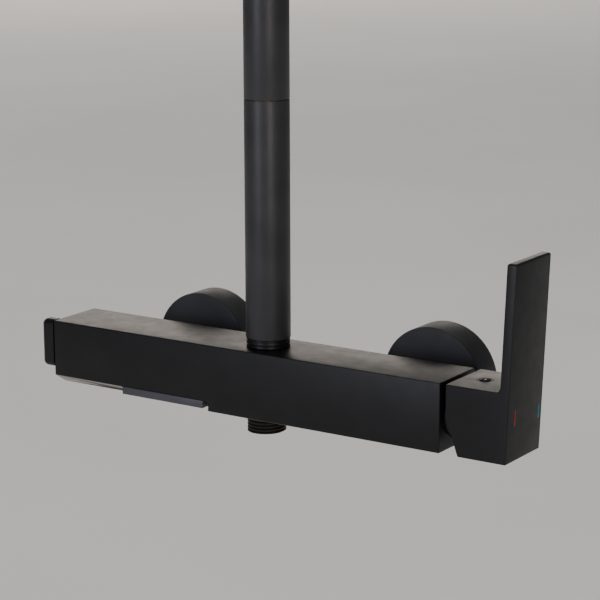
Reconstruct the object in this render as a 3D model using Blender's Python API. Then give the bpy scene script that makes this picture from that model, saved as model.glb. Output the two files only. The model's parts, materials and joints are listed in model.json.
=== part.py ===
"""Wall mounted bath and shower mixer bar with a single lever, a diverter knob and a riser pipe.

Frame: +X to the right along the bar, +Y into the wall, +Z up. The origin lies in the wall
plane, midway between the two inlets and level with the axis of the bar.
"""
import math

import bmesh
import bpy
from mathutils import Matrix, Vector

MM = 0.001

# Clearances
GAP = 0.3 * MM          # between pieces that are seated, screwed or pressed together
RUN = 0.25 * MM         # between pieces that turn or slide on each other
OVER = 1.0 * MM         # how far a cutter runs past the face that it opens
HEX_DEPTH = 2.0 * MM    # hexagon socket in each grub screw

# Bar body
BODY_LEFT = 135.0 * MM
BODY_RIGHT = 113.0 * MM
BODY_DEPTH = 36.0 * MM
BODY_HEIGHT = 36.5 * MM
BODY_EDGE = 0.6 * MM
WALL_REACH = 58.0 * MM  # wall plane to the axis of the bar

# Inlets
INLET_SPACING = 150.0 * MM
INLET_PORT_RADIUS = 9.25 * MM
INLET_PORT_DEPTH = 7.5 * MM
HOT_PASSAGE_RADIUS = 7.5 * MM
COLD_PASSAGE_RADIUS = 4.0 * MM
INLET_PASSAGE_DEPTH = 14.0 * MM
NIPPLE_BORE_RADIUS = 6.8 * MM
NIPPLE_NECK_RADIUS = 8.2 * MM
NIPPLE_SLEEVE_RADIUS = 10.0 * MM
NIPPLE_FLANGE_RADIUS = 11.3 * MM
NIPPLE_FLANGE_LENGTH = 2.2 * MM
UNION_THREAD_RADIUS = 13.2 * MM
UNION_NUT_ACROSS_FLATS = 32.0 * MM
UNION_NUT_LIP = 3.0 * MM
WASHER_THICKNESS = 1.6 * MM
WASHER_BORE_RADIUS = 7.6 * MM

# Eccentric wall unions and their covers
WALL_THREAD_RADIUS = 10.48 * MM
WALL_THREAD_LENGTH = 12.0 * MM
ECCENTRICITY = 6.0 * MM
WALL_THREAD_START = -1.5 * MM     # just in front of the wall plane
UNION_BORE_RADIUS = 7.5 * MM
WALL_BORE_RADIUS = 6.0 * MM
ESCUTCHEON_RADIUS = 29.9 * MM
ESCUTCHEON_DEPTH = 18.4 * MM
ESCUTCHEON_WALL = 1.2 * MM
ESCUTCHEON_EDGE = 0.5 * MM

# Check valves
VALVE_LENGTH = 12.0 * MM
VALVE_WALL = 1.2 * MM
VALVE_SEAT_RADIUS = 3.6 * MM
VALVE_SEAT_THICKNESS = 1.6 * MM
VALVE_GUIDE_THICKNESS = 1.4 * MM
POPPET_RADIUS = 4.6 * MM
POPPET_THICKNESS = 1.6 * MM
POPPET_STEM_RADIUS = 1.1 * MM
SPRING_RADIUS = 3.1 * MM
SPRING_WIRE_RADIUS = 0.3 * MM
SPRING_TURNS = 4
GUIDE_PORT_RADIUS = 1.0 * MM
GUIDE_PORT_CIRCLE = 3.3 * MM

# Water galleries inside the bar
GALLERY_RADIUS = 2.5 * MM
DIVERTER_PORT_CIRCLE = 5.0 * MM
HOT_GALLERY_Y = 7.0 * MM
HOT_GALLERY_Z = -7.5 * MM
COLD_GALLERY_Y = 5.0 * MM
COLD_GALLERY_Z = 6.5 * MM

# Mixing cartridge
CARTRIDGE_BORE_RADIUS = 13.5 * MM
CARTRIDGE_BORE_DEPTH = 27.0 * MM
CARTRIDGE_SEAL_THICKNESS = 0.8 * MM
CARTRIDGE_BASE_THICKNESS = 3.2 * MM
CARTRIDGE_WALL = 2.8 * MM
CARTRIDGE_SHOULDER = 18.0 * MM   # bore floor to the shoulder that the nut presses on
CARTRIDGE_NECK_RADIUS = 11.3 * MM
CARTRIDGE_NECK_LENGTH = 8.0 * MM
CARTRIDGE_PORT_RADIUS = 1.8 * MM
CARTRIDGE_PORTS = ((5.1 * MM, -5.1 * MM), (5.1 * MM, 5.1 * MM), (-5.8 * MM, 5.4 * MM))
FIXED_DISC_THICKNESS = 2.6 * MM
MOVING_DISC_RADIUS = 6.4 * MM
MOVING_DISC_THICKNESS = 2.2 * MM
CARRIER_THICKNESS = 5.0 * MM
CARRIER_CLEARANCE = 1.8 * MM     # carrier to the turret
PIVOT_ARM = 10.0 * MM            # lever pivot to the ball that drives the moving disc
PIVOT_SETBACK = 3.0 * MM         # body's right end to the lever pivot
PIVOT_PIN_RADIUS = 1.5 * MM
BALL_RADIUS = 2.3 * MM
BALL_NECK_RADIUS = 1.4 * MM
BALL_POCKET_RADIUS = 2.7 * MM
STEM_SIDE = 7.0 * MM
STEM_HEEL = 5.25 * MM            # pivot to the square part's inner end
TURRET_RADIUS = 9.5 * MM
TURRET_FLANGE_RADIUS = 10.1 * MM
TURRET_FLANGE_THICKNESS = 2.0 * MM
LIFT_LIMIT = math.radians(20.0)
CARTRIDGE_NUT_LENGTH = 7.0 * MM
NUT_SLOT_DEPTH = 1.5 * MM
NUT_SLOT_WIDTH = 3.0 * MM
DOME_WALL = 1.2 * MM
DOME_MOUTH_CLEARANCE = math.radians(3)
HANDLE_CAVITY_CLEARANCE = 1.5 * MM

# Lever handle
HANDLE_GAP = 3.3 * MM
HANDLE_LENGTH = 34.2 * MM        # along the bar, at the foot of the block
LEVER_TOP = 83.2 * MM            # above the axis of the bar
LEVER_THICKNESS = 5.3 * MM
LEVER_LEAN = math.radians(2.5)
LEVER_FILLET = 2.8 * MM
RELIEF_START = 7.6 * MM          # height on the block's inner face where its relief begins
RELIEF_DEPTH = 7.1 * MM
RELIEF_RADIUS = 130.0 * MM
SOCKET_DEPTH = 12.0 * MM
SOCKET_CLEARANCE = 0.2 * MM
PLUG_RADIUS = 4.35 * MM
PLUG_DEPTH = 2.2 * MM
PLUG_SETBACK = 12.5 * MM         # block's inner face to the plug's centre
HANDLE_SCREW_RADIUS = 2.5 * MM
HANDLE_SCREW_LENGTH = 6.5 * MM
HANDLE_HEX_RADIUS = 1.4 * MM
CAVITY_SIDES = 28
CAVITY_RINGS = 16

# Diverter
DIVERTER_BORE_RADIUS = 10.0 * MM
DIVERTER_BORE_DEPTH = 40.0 * MM
DIVERTER_BASE_THICKNESS = 3.0 * MM
DIVERTER_DISC_THICKNESS = 3.0 * MM
DIVERTER_CHAMBER_LENGTH = 17.0 * MM
DIVERTER_WALL = 1.7 * MM
DIVERTER_HOUSING_LENGTH = 31.0 * MM
DIVERTER_PORT_RADIUS = 2.0 * MM
SPINDLE_RADIUS = 3.5 * MM
SPINDLE_FLANGE_THICKNESS = 6.0 * MM
SPINDLE_END_INSET = 2.4 * MM     # knob's outer face to the end of the spindle
DIVERTER_RING_GROOVE = 0.8 * MM
SPINDLE_RING_INSET = 4.0 * MM     # chamber to the ring's groove
SPINDLE_RING_WIDTH = 2.0 * MM
KNOB_SIDE = 27.0 * MM
KNOB_DEPTH = 8.6 * MM
KNOB_GAP = 0.6 * MM
KNOB_TAB_THICKNESS = 8.5 * MM    # front to back
KNOB_HUB_RADIUS = 9.0 * MM
KNOB_HUB_STEP = 1.0 * MM         # tab's outer face to the hub's
KNOB_ROUND = 3.2 * MM
KNOB_SCREW_RADIUS = 1.5 * MM
KNOB_SCREW_INSET = 1.5 * MM      # knob's underside to the screw
KNOB_HEX_RADIUS = 0.8 * MM

# Riser
RISER_X = -2.2 * MM
RISER_RADIUS = 12.0 * MM
RISER_WALL = 1.5 * MM
RISER_SEAM_HEIGHT = 150.0 * MM   # above the axis of the bar
RISER_TOP_HEIGHT = 214.0 * MM
RISER_SLEEVE_REACH = 12.0 * MM   # into each pipe
RISER_SLEEVE_WALL = 1.3 * MM
RISER_PORT_RADIUS = 9.6 * MM
RISER_PORT_DEPTH = 6.7 * MM
COLLAR_RADIUS = 11.7 * MM
COLLAR_HEIGHT = 4.5 * MM
COLLAR_GROOVES = (1.1 * MM, 3.2 * MM)    # up from the collar's foot
COLLAR_GROOVE_DEPTH = 0.5 * MM
COLLAR_GROOVE_WIDTH = 0.6 * MM
SPIGOT_LENGTH = 17.0 * MM
SPIGOT_BORE_RADIUS = 6.5 * MM
RING_GROOVE_DEPTH = 1.3 * MM
RING_GROOVE_WIDTH = 2.2 * MM
RING_OFFSETS = (3.6 * MM, 12.6 * MM)
RISER_SCREW_RADIUS = 2.0 * MM
RISER_SCREW_HEIGHT = 8.1 * MM    # above the collar
RISER_SCREW_LENGTH = 3.4 * MM
RISER_HEX_RADIUS = 1.1 * MM

# Hose outlet
OUTLET_X = -3.4 * MM
OUTLET_PORT_RADIUS = 8.3 * MM
OUTLET_PORT_DEPTH = 7.2 * MM
OUTLET_THREAD_RADIUS = 10.48 * MM
OUTLET_LENGTH = 9.8 * MM
OUTLET_THREADS = 3
OUTLET_THREAD_DEPTH = 0.9 * MM
THREAD_FLANK = 0.35              # shares of the pitch: each slope, and the flat between
THREAD_TROUGH = 0.15
OUTLET_BORE_RADIUS = 6.5 * MM
OUTLET_SEAL_THICKNESS = 1.2 * MM
OUTLET_SEAL_RADIUS = 9.9 * MM
PASSAGE_RADIUS = 2.4 * MM

# Cascade outlet under the bar's left half
CASCADE_BEVEL_HEIGHT = 5.4 * MM
CASCADE_BEVEL_DEPTH = 8.6 * MM
CASCADE_BEVEL_END = 105.6 * MM   # from the body's left end
NOZZLE_START = 47.6 * MM         # from the body's left end
NOZZLE_LENGTH = 54.4 * MM
NOZZLE_DEPTH = 11.5 * MM
NOZZLE_HEIGHT = 4.3 * MM
MOUTH_LENGTH = 44.0 * MM
MOUTH_WIDTH = 2.4 * MM
MOUTH_SETBACK = 3.0 * MM
CHAMBER_LENGTH = 40.0 * MM
CHAMBER_WIDTH = 4.0 * MM
CHAMBER_HEIGHT = 3.6 * MM
GASKET_THICKNESS = 0.8 * MM
GASKET_RIM = 1.2 * MM
STRAINER_THICKNESS = 0.8 * MM
STRAINER_SLOTS = 9
NOZZLE_SCREW_RADIUS = 1.0 * MM
NOZZLE_SCREW_HEAD_RADIUS = 1.9 * MM
NOZZLE_SCREW_HEAD = 1.2 * MM
NOZZLE_SCREW_LENGTH = 6.0 * MM
NOZZLE_SCREW_SETBACK = 8.4 * MM
NOZZLE_SCREW_SPACING = 34.0 * MM

# Places worked out from the sizes
AXIS_Y = -WALL_REACH
FRONT_Y = AXIS_Y - BODY_DEPTH / 2
BACK_Y = AXIS_Y + BODY_DEPTH / 2
TOP_Z = BODY_HEIGHT / 2
BOTTOM_Z = -BODY_HEIGHT / 2
PIVOT_X = BODY_RIGHT - PIVOT_SETBACK
DOME_RADIUS = CARTRIDGE_BORE_RADIUS
CARTRIDGE_FLOOR_X = BODY_RIGHT - CARTRIDGE_BORE_DEPTH
DIVERTER_FLOOR_X = DIVERTER_BORE_DEPTH - BODY_LEFT
DIVERTER_Y = FRONT_Y + KNOB_SIDE / 2
DIVERTER_Z = TOP_Z - KNOB_SIDE / 2
PORT_OFFSET = DIVERTER_PORT_CIRCLE / math.sqrt(2)
MIXED_GALLERY = (DIVERTER_Y - PORT_OFFSET, DIVERTER_Z + PORT_OFFSET)
RISER_GALLERY = (DIVERTER_Y + PORT_OFFSET, DIVERTER_Z + PORT_OFFSET)
HOSE_GALLERY = (DIVERTER_Y + PORT_OFFSET, DIVERTER_Z - PORT_OFFSET)
CASCADE_GALLERY = (DIVERTER_Y - PORT_OFFSET, DIVERTER_Z - PORT_OFFSET)
NOZZLE_X0 = NOZZLE_START - BODY_LEFT
NOZZLE_MID_X = NOZZLE_X0 + NOZZLE_LENGTH / 2
NOZZLE_TOP_Z = BOTTOM_Z + CASCADE_BEVEL_HEIGHT
MOUTH_Y = FRONT_Y + MOUTH_SETBACK + MOUTH_WIDTH / 2

TURNED = 24             # sides of a plain turned piece
FINE = 40               # sides of a large turned piece
SMALL = 12              # sides of a screw or a drilling
ARC_STEPS = 5           # straight steps in an arc

ALONG = {"X": Vector((1, 0, 0)), "Y": Vector((0, 1, 0)), "Z": Vector((0, 0, 1))}


def clear_scene():
    for obj in list(bpy.data.objects):
        bpy.data.objects.remove(obj, do_unlink=True)


def make_material(name, color, roughness, metallic):
    material = bpy.data.materials.new(name)
    material.use_nodes = True
    shader = material.node_tree.nodes["Principled BSDF"]
    shader.inputs["Base Color"].default_value = (*color, 1.0)
    shader.inputs["Roughness"].default_value = roughness
    shader.inputs["Metallic"].default_value = metallic
    material.diffuse_color = (*color, 1.0)
    return material


def place_mesh(bm, name, material, turn=None):
    """Make an object of a bmesh, with its faces pointing out and its round faces smooth."""
    bmesh.ops.remove_doubles(bm, verts=bm.verts, dist=1e-7)
    bmesh.ops.recalc_face_normals(bm, faces=bm.faces)
    mesh = bpy.data.meshes.new(name)
    bm.to_mesh(mesh)
    bm.free()
    mesh.shade_smooth()
    mesh.set_sharp_from_angle(angle=math.radians(35))
    obj = bpy.data.objects.new(name, mesh)
    bpy.context.scene.collection.objects.link(obj)
    if material:
        mesh.materials.append(material)
    if turn:
        obj.matrix_world = turn
    return obj


def axis_frame(origin, axis):
    """Local +Z runs along the named world axis from the origin."""
    direction = ALONG[axis.strip("+-")] * (-1 if axis.startswith("-") else 1)
    turn = Vector((0, 0, 1)).rotation_difference(direction).to_matrix().to_4x4()
    return Matrix.Translation(origin) @ turn


def turned(name, profile, origin, axis, material, sides=TURNED, start=0.0):
    """A solid of revolution. Its profile is a list of (radius, distance along the axis)."""
    bm = bmesh.new()
    first = Matrix.Rotation(start, 3, "Z")
    verts = [bm.verts.new(first @ Vector((radius, 0, height))) for radius, height in profile]
    pairs = list(zip(verts, verts[1:]))
    if profile[0][0] > 0 and profile[-1][0] > 0:
        pairs.append((verts[-1], verts[0]))
    edges = [bm.edges.new(pair) for pair in pairs]
    bmesh.ops.spin(bm, geom=verts + edges, cent=(0, 0, 0), axis=(0, 0, 1),
                   angle=2 * math.pi, steps=sides, use_duplicate=False)
    return place_mesh(bm, name, material, axis_frame(origin, axis))


def rod(name, radius, length, origin, axis, material, sides=SMALL, start=0.0):
    profile = [(0, 0), (radius, 0), (radius, length), (0, length)]
    return turned(name, profile, origin, axis, material, sides, start)


def tube(name, outer, inner, length, origin, axis, material, sides=TURNED):
    profile = [(inner, 0), (outer, 0), (outer, length), (inner, length)]
    return turned(name, profile, origin, axis, material, sides)


def box(name, low, high, material, edge=0.0):
    bm = bmesh.new()
    bmesh.ops.create_cube(bm, size=1.0)
    size = Vector(high) - Vector(low)
    bmesh.ops.scale(bm, verts=bm.verts, vec=size)
    centre = (Vector(high) + Vector(low)) / 2
    obj = place_mesh(bm, name, material, Matrix.Translation(centre))
    if edge:
        round_edges(obj, edge)
    return obj


def prism(name, outline, low, high, axis, material):
    """Extrude a closed outline along an axis. Its points are the other two world coordinates."""
    bm = bmesh.new()
    spread = {"X": lambda a, b: (low, a, b), "Y": lambda a, b: (a, low, b),
              "Z": lambda a, b: (a, b, low)}[axis]
    face = bm.faces.new([bm.verts.new(spread(a, b)) for a, b in outline])
    grown = bmesh.ops.extrude_face_region(bm, geom=[face])
    moved = [part for part in grown["geom"] if isinstance(part, bmesh.types.BMVert)]
    bmesh.ops.translate(bm, verts=moved, vec=ALONG[axis] * (high - low))
    return place_mesh(bm, name, material)


def round_edges(obj, width, segments=2, angle=math.radians(30)):
    bevel = obj.modifiers.new("Rounded edges", "BEVEL")
    bevel.width = width
    bevel.segments = segments
    bevel.limit_method = "ANGLE"
    bevel.angle_limit = angle


def cut(target, cutter):
    """Take the cutter's shape out of the target."""
    cutter.hide_render = True
    cutter.display_type = "WIRE"
    boolean = target.modifiers.new("Cut " + cutter.name, "BOOLEAN")
    boolean.operation = "DIFFERENCE"
    boolean.object = cutter
    return cutter


def drill(target, name, radius, length, origin, axis, sides=SMALL):
    return cut(target, rod("cut_" + name, radius, length, origin, axis, None, sides))


def mill(target, name, low, high):
    return cut(target, box("cut_" + name, low, high, None))


def arc(centre, radius, start, end, steps):
    """Points along an arc, its angles in radians."""
    step = (end - start) / steps
    return [(centre[0] + radius * math.cos(start + step * i),
             centre[1] + radius * math.sin(start + step * i)) for i in range(steps + 1)]


def ride(child, parent):
    """Parent without moving the child."""
    child.parent = parent
    child.matrix_parent_inverse = parent.matrix_world.inverted()


def joint_empty(name, location, parent=None):
    empty = bpy.data.objects.new(name, None)
    bpy.context.scene.collection.objects.link(empty)
    empty.matrix_world = Matrix.Translation(location)
    if parent:
        ride(empty, parent)
    bpy.context.view_layer.update()
    return empty


def make_materials():
    return {
        "black": make_material("matte_black_brass", (0.012, 0.012, 0.013), 0.38, 0.0),
        "brass": make_material("raw_brass", (0.62, 0.45, 0.20), 0.35, 1.0),
        "steel": make_material("stainless_steel", (0.55, 0.55, 0.56), 0.30, 1.0),
        "ceramic": make_material("alumina_ceramic", (0.85, 0.84, 0.80), 0.25, 0.0),
        "plastic": make_material("white_acetal", (0.72, 0.72, 0.70), 0.45, 0.0),
        "grey": make_material("grey_nozzle_plastic", (0.06, 0.065, 0.07), 0.35, 0.0),
        "rubber": make_material("nitrile_rubber", (0.02, 0.02, 0.02), 0.70, 0.0),
        "red": make_material("indicator_plastic", (0.45, 0.03, 0.03), 0.35, 0.0),
    }


def make_body(mats):
    body = box("body_casting", (-BODY_LEFT, FRONT_Y, BOTTOM_Z), (BODY_RIGHT, BACK_Y, TOP_Z),
               mats["black"], BODY_EDGE)
    cut_cascade_bevel(body)
    cut_nozzle_pocket(body)
    cut_cartridge_bore(body)
    cut_diverter_bore(body)
    cut_riser_port(body)
    cut_outlet_port(body)
    for side in (-1, 1):
        cut_inlet_port(body, side)
    return body


def cut_cascade_bevel(body):
    """The lower front edge of the left part slopes back under the bar."""
    slope = CASCADE_BEVEL_DEPTH / CASCADE_BEVEL_HEIGHT
    outline = [(FRONT_Y - OVER, NOZZLE_TOP_Z + OVER / slope),
               (FRONT_Y + CASCADE_BEVEL_DEPTH + OVER * slope, BOTTOM_Z - OVER),
               (FRONT_Y - OVER, BOTTOM_Z - OVER)]
    cut(body, prism("cut_cascade_bevel", outline, -BODY_LEFT - OVER,
                    CASCADE_BEVEL_END - BODY_LEFT, "X", None))


def cut_nozzle_pocket(body):
    mill(body, "nozzle_pocket",
         (NOZZLE_X0 - GAP, FRONT_Y - OVER, BOTTOM_Z - OVER),
         (NOZZLE_X0 + NOZZLE_LENGTH + GAP, FRONT_Y + NOZZLE_DEPTH + GAP, NOZZLE_TOP_Z + GAP))
    half_length = MOUTH_LENGTH / 2 + GASKET_RIM + GAP
    half_width = MOUTH_WIDTH / 2 + GASKET_RIM + GAP
    gasket_top = NOZZLE_TOP_Z + 2 * GAP + GASKET_THICKNESS
    mill(body, "gasket_recess",
         (NOZZLE_MID_X - half_length, MOUTH_Y - half_width, NOZZLE_TOP_Z),
         (NOZZLE_MID_X + half_length, MOUTH_Y + half_width, gasket_top))
    mill(body, "cascade_chamber",
         (NOZZLE_MID_X - CHAMBER_LENGTH / 2, MOUTH_Y - CHAMBER_WIDTH / 2, NOZZLE_TOP_Z),
         (NOZZLE_MID_X + CHAMBER_LENGTH / 2, MOUTH_Y + CHAMBER_WIDTH / 2,
          gasket_top + CHAMBER_HEIGHT))
    feed_y = (MOUTH_Y + CASCADE_GALLERY[0]) / 2
    feed_z = gasket_top + CHAMBER_HEIGHT - OVER
    drill(body, "cascade_feed", GALLERY_RADIUS, CASCADE_GALLERY[1] - feed_z,
          (NOZZLE_MID_X, feed_y, feed_z), "Z")
    for i, x in enumerate(nozzle_screw_places()):
        drill(body, f"nozzle_screw_{i + 1}", NOZZLE_SCREW_RADIUS + GAP,
              NOZZLE_SCREW_LENGTH, (x, FRONT_Y + NOZZLE_SCREW_SETBACK, NOZZLE_TOP_Z - OVER), "Z")


def nozzle_screw_places():
    return [NOZZLE_MID_X + side * NOZZLE_SCREW_SPACING / 2 for side in (-1, 1)]


def cut_cartridge_bore(body):
    drill(body, "cartridge_bore", CARTRIDGE_BORE_RADIUS, CARTRIDGE_BORE_DEPTH + OVER,
          (CARTRIDGE_FLOOR_X, AXIS_Y, 0), "X", TURNED)
    galleries = (
        ("hot_gallery", AXIS_Y + HOT_GALLERY_Y, HOT_GALLERY_Z, -INLET_SPACING / 2),
        ("cold_gallery", AXIS_Y + COLD_GALLERY_Y, COLD_GALLERY_Z,
         INLET_SPACING / 2 - COLD_PASSAGE_RADIUS),
        ("mixed_gallery", *MIXED_GALLERY, DIVERTER_FLOOR_X - OVER / 2),
    )
    for name, y, z, start in galleries:
        drill(body, name, GALLERY_RADIUS, CARTRIDGE_FLOOR_X + OVER / 2 - start,
              (start, y, z), "X")


def cut_diverter_bore(body):
    drill(body, "diverter_bore", DIVERTER_BORE_RADIUS, DIVERTER_BORE_DEPTH + OVER,
          (-BODY_LEFT - OVER, DIVERTER_Y, DIVERTER_Z), "X", TURNED)
    galleries = (
        ("riser_gallery", *RISER_GALLERY, RISER_X + PASSAGE_RADIUS),
        ("hose_gallery", *HOSE_GALLERY, OUTLET_X + PASSAGE_RADIUS),
        ("cascade_gallery", *CASCADE_GALLERY, NOZZLE_MID_X + GALLERY_RADIUS),
    )
    for name, y, z, end in galleries:
        start = DIVERTER_FLOOR_X - OVER / 2
        drill(body, name, GALLERY_RADIUS, end - start, (start, y, z), "X")


def cut_riser_port(body):
    floor = TOP_Z - RISER_PORT_DEPTH
    drill(body, "riser_port", RISER_PORT_RADIUS, RISER_PORT_DEPTH + OVER,
          (RISER_X, AXIS_Y, floor), "Z", TURNED)
    drill(body, "riser_passage", PASSAGE_RADIUS, floor + OVER - RISER_GALLERY[1],
          (RISER_X, RISER_GALLERY[0], RISER_GALLERY[1]), "Z")


def cut_outlet_port(body):
    """One stepped bore: a recess for the seal, then the port."""
    floor = BOTTOM_Z + OUTLET_PORT_DEPTH
    recess = OUTLET_SEAL_THICKNESS + OVER
    depth = OUTLET_PORT_DEPTH + OVER
    profile = [(0, 0), (OUTLET_SEAL_RADIUS + GAP, 0), (OUTLET_SEAL_RADIUS + GAP, recess),
               (OUTLET_PORT_RADIUS, recess), (OUTLET_PORT_RADIUS, depth), (0, depth)]
    cut(body, turned("cut_outlet_port", profile, (OUTLET_X, AXIS_Y, BOTTOM_Z - OVER), "Z",
                     None))
    drill(body, "outlet_passage", PASSAGE_RADIUS, HOSE_GALLERY[1] - floor + OVER,
          (OUTLET_X, HOSE_GALLERY[0], floor - OVER), "Z")


def cut_inlet_port(body, side):
    """One stepped bore: the water passage, then the port for the nipple."""
    radius = HOT_PASSAGE_RADIUS if side < 0 else COLD_PASSAGE_RADIUS
    step = INLET_PASSAGE_DEPTH - INLET_PORT_DEPTH
    depth = INLET_PASSAGE_DEPTH + OVER
    profile = [(0, 0), (radius, 0), (radius, step), (INLET_PORT_RADIUS, step),
               (INLET_PORT_RADIUS, depth), (0, depth)]
    mouth = (side * INLET_SPACING / 2, BACK_Y - INLET_PASSAGE_DEPTH, 0)
    cut(body, turned(f"cut_{side_name(side)}_port", profile, mouth, "Y", None))


def side_name(side):
    return "hot" if side < 0 else "cold"


def make_inlet(side, mats):
    """Everything between the bar's back and the wall, for one inlet."""
    name = side_name(side)
    x = side * INLET_SPACING / 2
    port_floor = BACK_Y - INLET_PORT_DEPTH
    sleeve = BACK_Y + GAP
    neck = -ESCUTCHEON_DEPTH + ESCUTCHEON_WALL
    nut_front = neck + GAP
    flange = nut_front + UNION_NUT_LIP + GAP
    nipple_end = flange + NIPPLE_FLANGE_LENGTH
    start = port_floor + GAP

    profile = [(NIPPLE_BORE_RADIUS, start), (INLET_PORT_RADIUS - GAP, start),
               (INLET_PORT_RADIUS - GAP, sleeve), (NIPPLE_SLEEVE_RADIUS, sleeve),
               (NIPPLE_SLEEVE_RADIUS, neck), (NIPPLE_NECK_RADIUS, neck),
               (NIPPLE_NECK_RADIUS, flange), (NIPPLE_FLANGE_RADIUS, flange),
               (NIPPLE_FLANGE_RADIUS, nipple_end), (NIPPLE_BORE_RADIUS, nipple_end)]
    profile = [(radius, y - start) for radius, y in profile]
    turned(name + "_inlet_nipple", profile, (x, start, 0), "Y", mats["black"])

    washer = nipple_end + GAP
    tube(name + "_inlet_washer", NIPPLE_FLANGE_RADIUS, WASHER_BORE_RADIUS, WASHER_THICKNESS,
         (x, washer, 0), "Y", mats["rubber"])

    make_union_nut(name, x, nut_front, WALL_THREAD_START - GAP, mats)
    make_eccentric_union(name, x, washer + WASHER_THICKNESS + GAP, mats)
    make_escutcheon(name, x, mats)
    make_check_valve(name, x, nipple_end - GAP, mats)


def make_union_nut(name, x, front, back, mats):
    """Swivel nut inside the wall cover: its front lip is caught behind the nipple's flange."""
    bore = UNION_THREAD_RADIUS + GAP
    corner = UNION_NUT_ACROSS_FLATS / 2 / math.cos(math.pi / 6)
    nut = rod(name + "_union_nut", corner, back - front, (x, front, 0), "Y", mats["brass"], 6,
              math.pi / 6)
    round_edges(nut, BODY_EDGE, 1)
    drill(nut, name + "_nut_lip", NIPPLE_NECK_RADIUS + GAP, UNION_NUT_LIP + 2 * OVER,
          (x, front - OVER, 0), "Y", TURNED)
    drill(nut, name + "_nut_bore", bore, back - front - UNION_NUT_LIP + OVER,
          (x, front + UNION_NUT_LIP, 0), "Y", TURNED)


def make_eccentric_union(name, x, front, mats):
    """S-shaped union: its wall end sits lower than its front end."""
    union = rod(name + "_eccentric_union", UNION_THREAD_RADIUS, -GAP - front,
                (x, front, 0), "Y", mats["brass"], TURNED)
    tail = rod("join_" + name + "_wall_thread", WALL_THREAD_RADIUS,
               WALL_THREAD_LENGTH - WALL_THREAD_START, (x, WALL_THREAD_START, -ECCENTRICITY),
               "Y", None, TURNED)
    join(union, tail)
    middle = (front + WALL_THREAD_START) / 2
    drill(union, name + "_union_bore", UNION_BORE_RADIUS, middle - front + 2 * OVER,
          (x, front - OVER, 0), "Y", TURNED)
    drill(union, name + "_wall_bore", WALL_BORE_RADIUS, WALL_THREAD_LENGTH - middle + 2 * OVER,
          (x, middle - OVER, -ECCENTRICITY), "Y", TURNED)


def join(target, part):
    """Add the part's shape to the target."""
    part.hide_render = True
    part.display_type = "WIRE"
    boolean = target.modifiers.new("Join " + part.name, "BOOLEAN")
    boolean.operation = "UNION"
    boolean.object = part


def make_escutcheon(name, x, mats):
    """Drum-shaped wall cover. It slides forward on the nipple's sleeve to free the nut."""
    depth = ESCUTCHEON_DEPTH - GAP
    inner = ESCUTCHEON_RADIUS - ESCUTCHEON_WALL
    hole = NIPPLE_SLEEVE_RADIUS + GAP
    profile = [(hole, 0), (ESCUTCHEON_RADIUS - ESCUTCHEON_EDGE, 0),
               (ESCUTCHEON_RADIUS, ESCUTCHEON_EDGE), (ESCUTCHEON_RADIUS, depth),
               (inner, depth), (inner, ESCUTCHEON_WALL), (hole, ESCUTCHEON_WALL)]
    turned(name + "_escutcheon", profile, (x, -ESCUTCHEON_DEPTH, 0), "Y", mats["black"], FINE)


def make_check_valve(name, x, upstream, mats):
    """Spring-loaded poppet valve in the nipple's bore. Water opens it towards the bar."""
    outer = NIPPLE_BORE_RADIUS - GAP
    inner = outer - VALVE_WALL
    downstream = upstream - VALVE_LENGTH
    seat = upstream - VALVE_SEAT_THICKNESS
    guide = downstream + VALVE_GUIDE_THICKNESS
    profile = [(POPPET_STEM_RADIUS + RUN, 0), (outer, 0), (outer, VALVE_LENGTH),
               (VALVE_SEAT_RADIUS, VALVE_LENGTH), (VALVE_SEAT_RADIUS, seat - downstream),
               (inner, seat - downstream), (inner, guide - downstream),
               (POPPET_STEM_RADIUS + RUN, guide - downstream)]
    housing = turned(name + "_check_valve_housing", profile, (x, downstream, 0), "Y",
                     mats["plastic"])
    for i in range(3):
        angle = math.radians(90 + 120 * i)
        place = (x + GUIDE_PORT_CIRCLE * math.cos(angle), downstream - OVER,
                 GUIDE_PORT_CIRCLE * math.sin(angle))
        drill(housing, f"{name}_guide_port_{i + 1}", GUIDE_PORT_RADIUS,
              VALVE_GUIDE_THICKNESS + 2 * OVER, place, "Y")

    face = seat - RUN
    back = face - POPPET_THICKNESS
    stem_end = downstream + RUN
    profile = [(0, 0), (POPPET_STEM_RADIUS, 0), (POPPET_STEM_RADIUS, back - stem_end),
               (POPPET_RADIUS, back - stem_end), (POPPET_RADIUS, face - stem_end),
               (0, face - stem_end)]
    turned(name + "_check_valve_poppet", profile, (x, stem_end, 0), "Y", mats["plastic"])
    make_spring(name + "_check_valve_spring", x, guide + GAP, back - GAP, mats["steel"])


def make_spring(name, x, low, high, material):
    """Compression spring about an axis along Y, with its ends on the two faces."""
    per_turn = 12
    count = SPRING_TURNS * per_turn
    rise = high - low - 2 * SPRING_WIRE_RADIUS
    curve = bpy.data.curves.new(name, "CURVE")
    curve.dimensions = "3D"
    curve.bevel_depth = SPRING_WIRE_RADIUS
    curve.bevel_resolution = 0
    curve.use_fill_caps = True
    spline = curve.splines.new("POLY")
    spline.points.add(count)
    for i, point in enumerate(spline.points):
        angle = 2 * math.pi * i / per_turn
        point.co = (SPRING_RADIUS * math.cos(angle), SPRING_WIRE_RADIUS + rise * i / count,
                    SPRING_RADIUS * math.sin(angle), 1.0)
    obj = bpy.data.objects.new(name, curve)
    obj.location = (x, low, 0)
    bpy.context.scene.collection.objects.link(obj)
    curve.materials.append(material)


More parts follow.
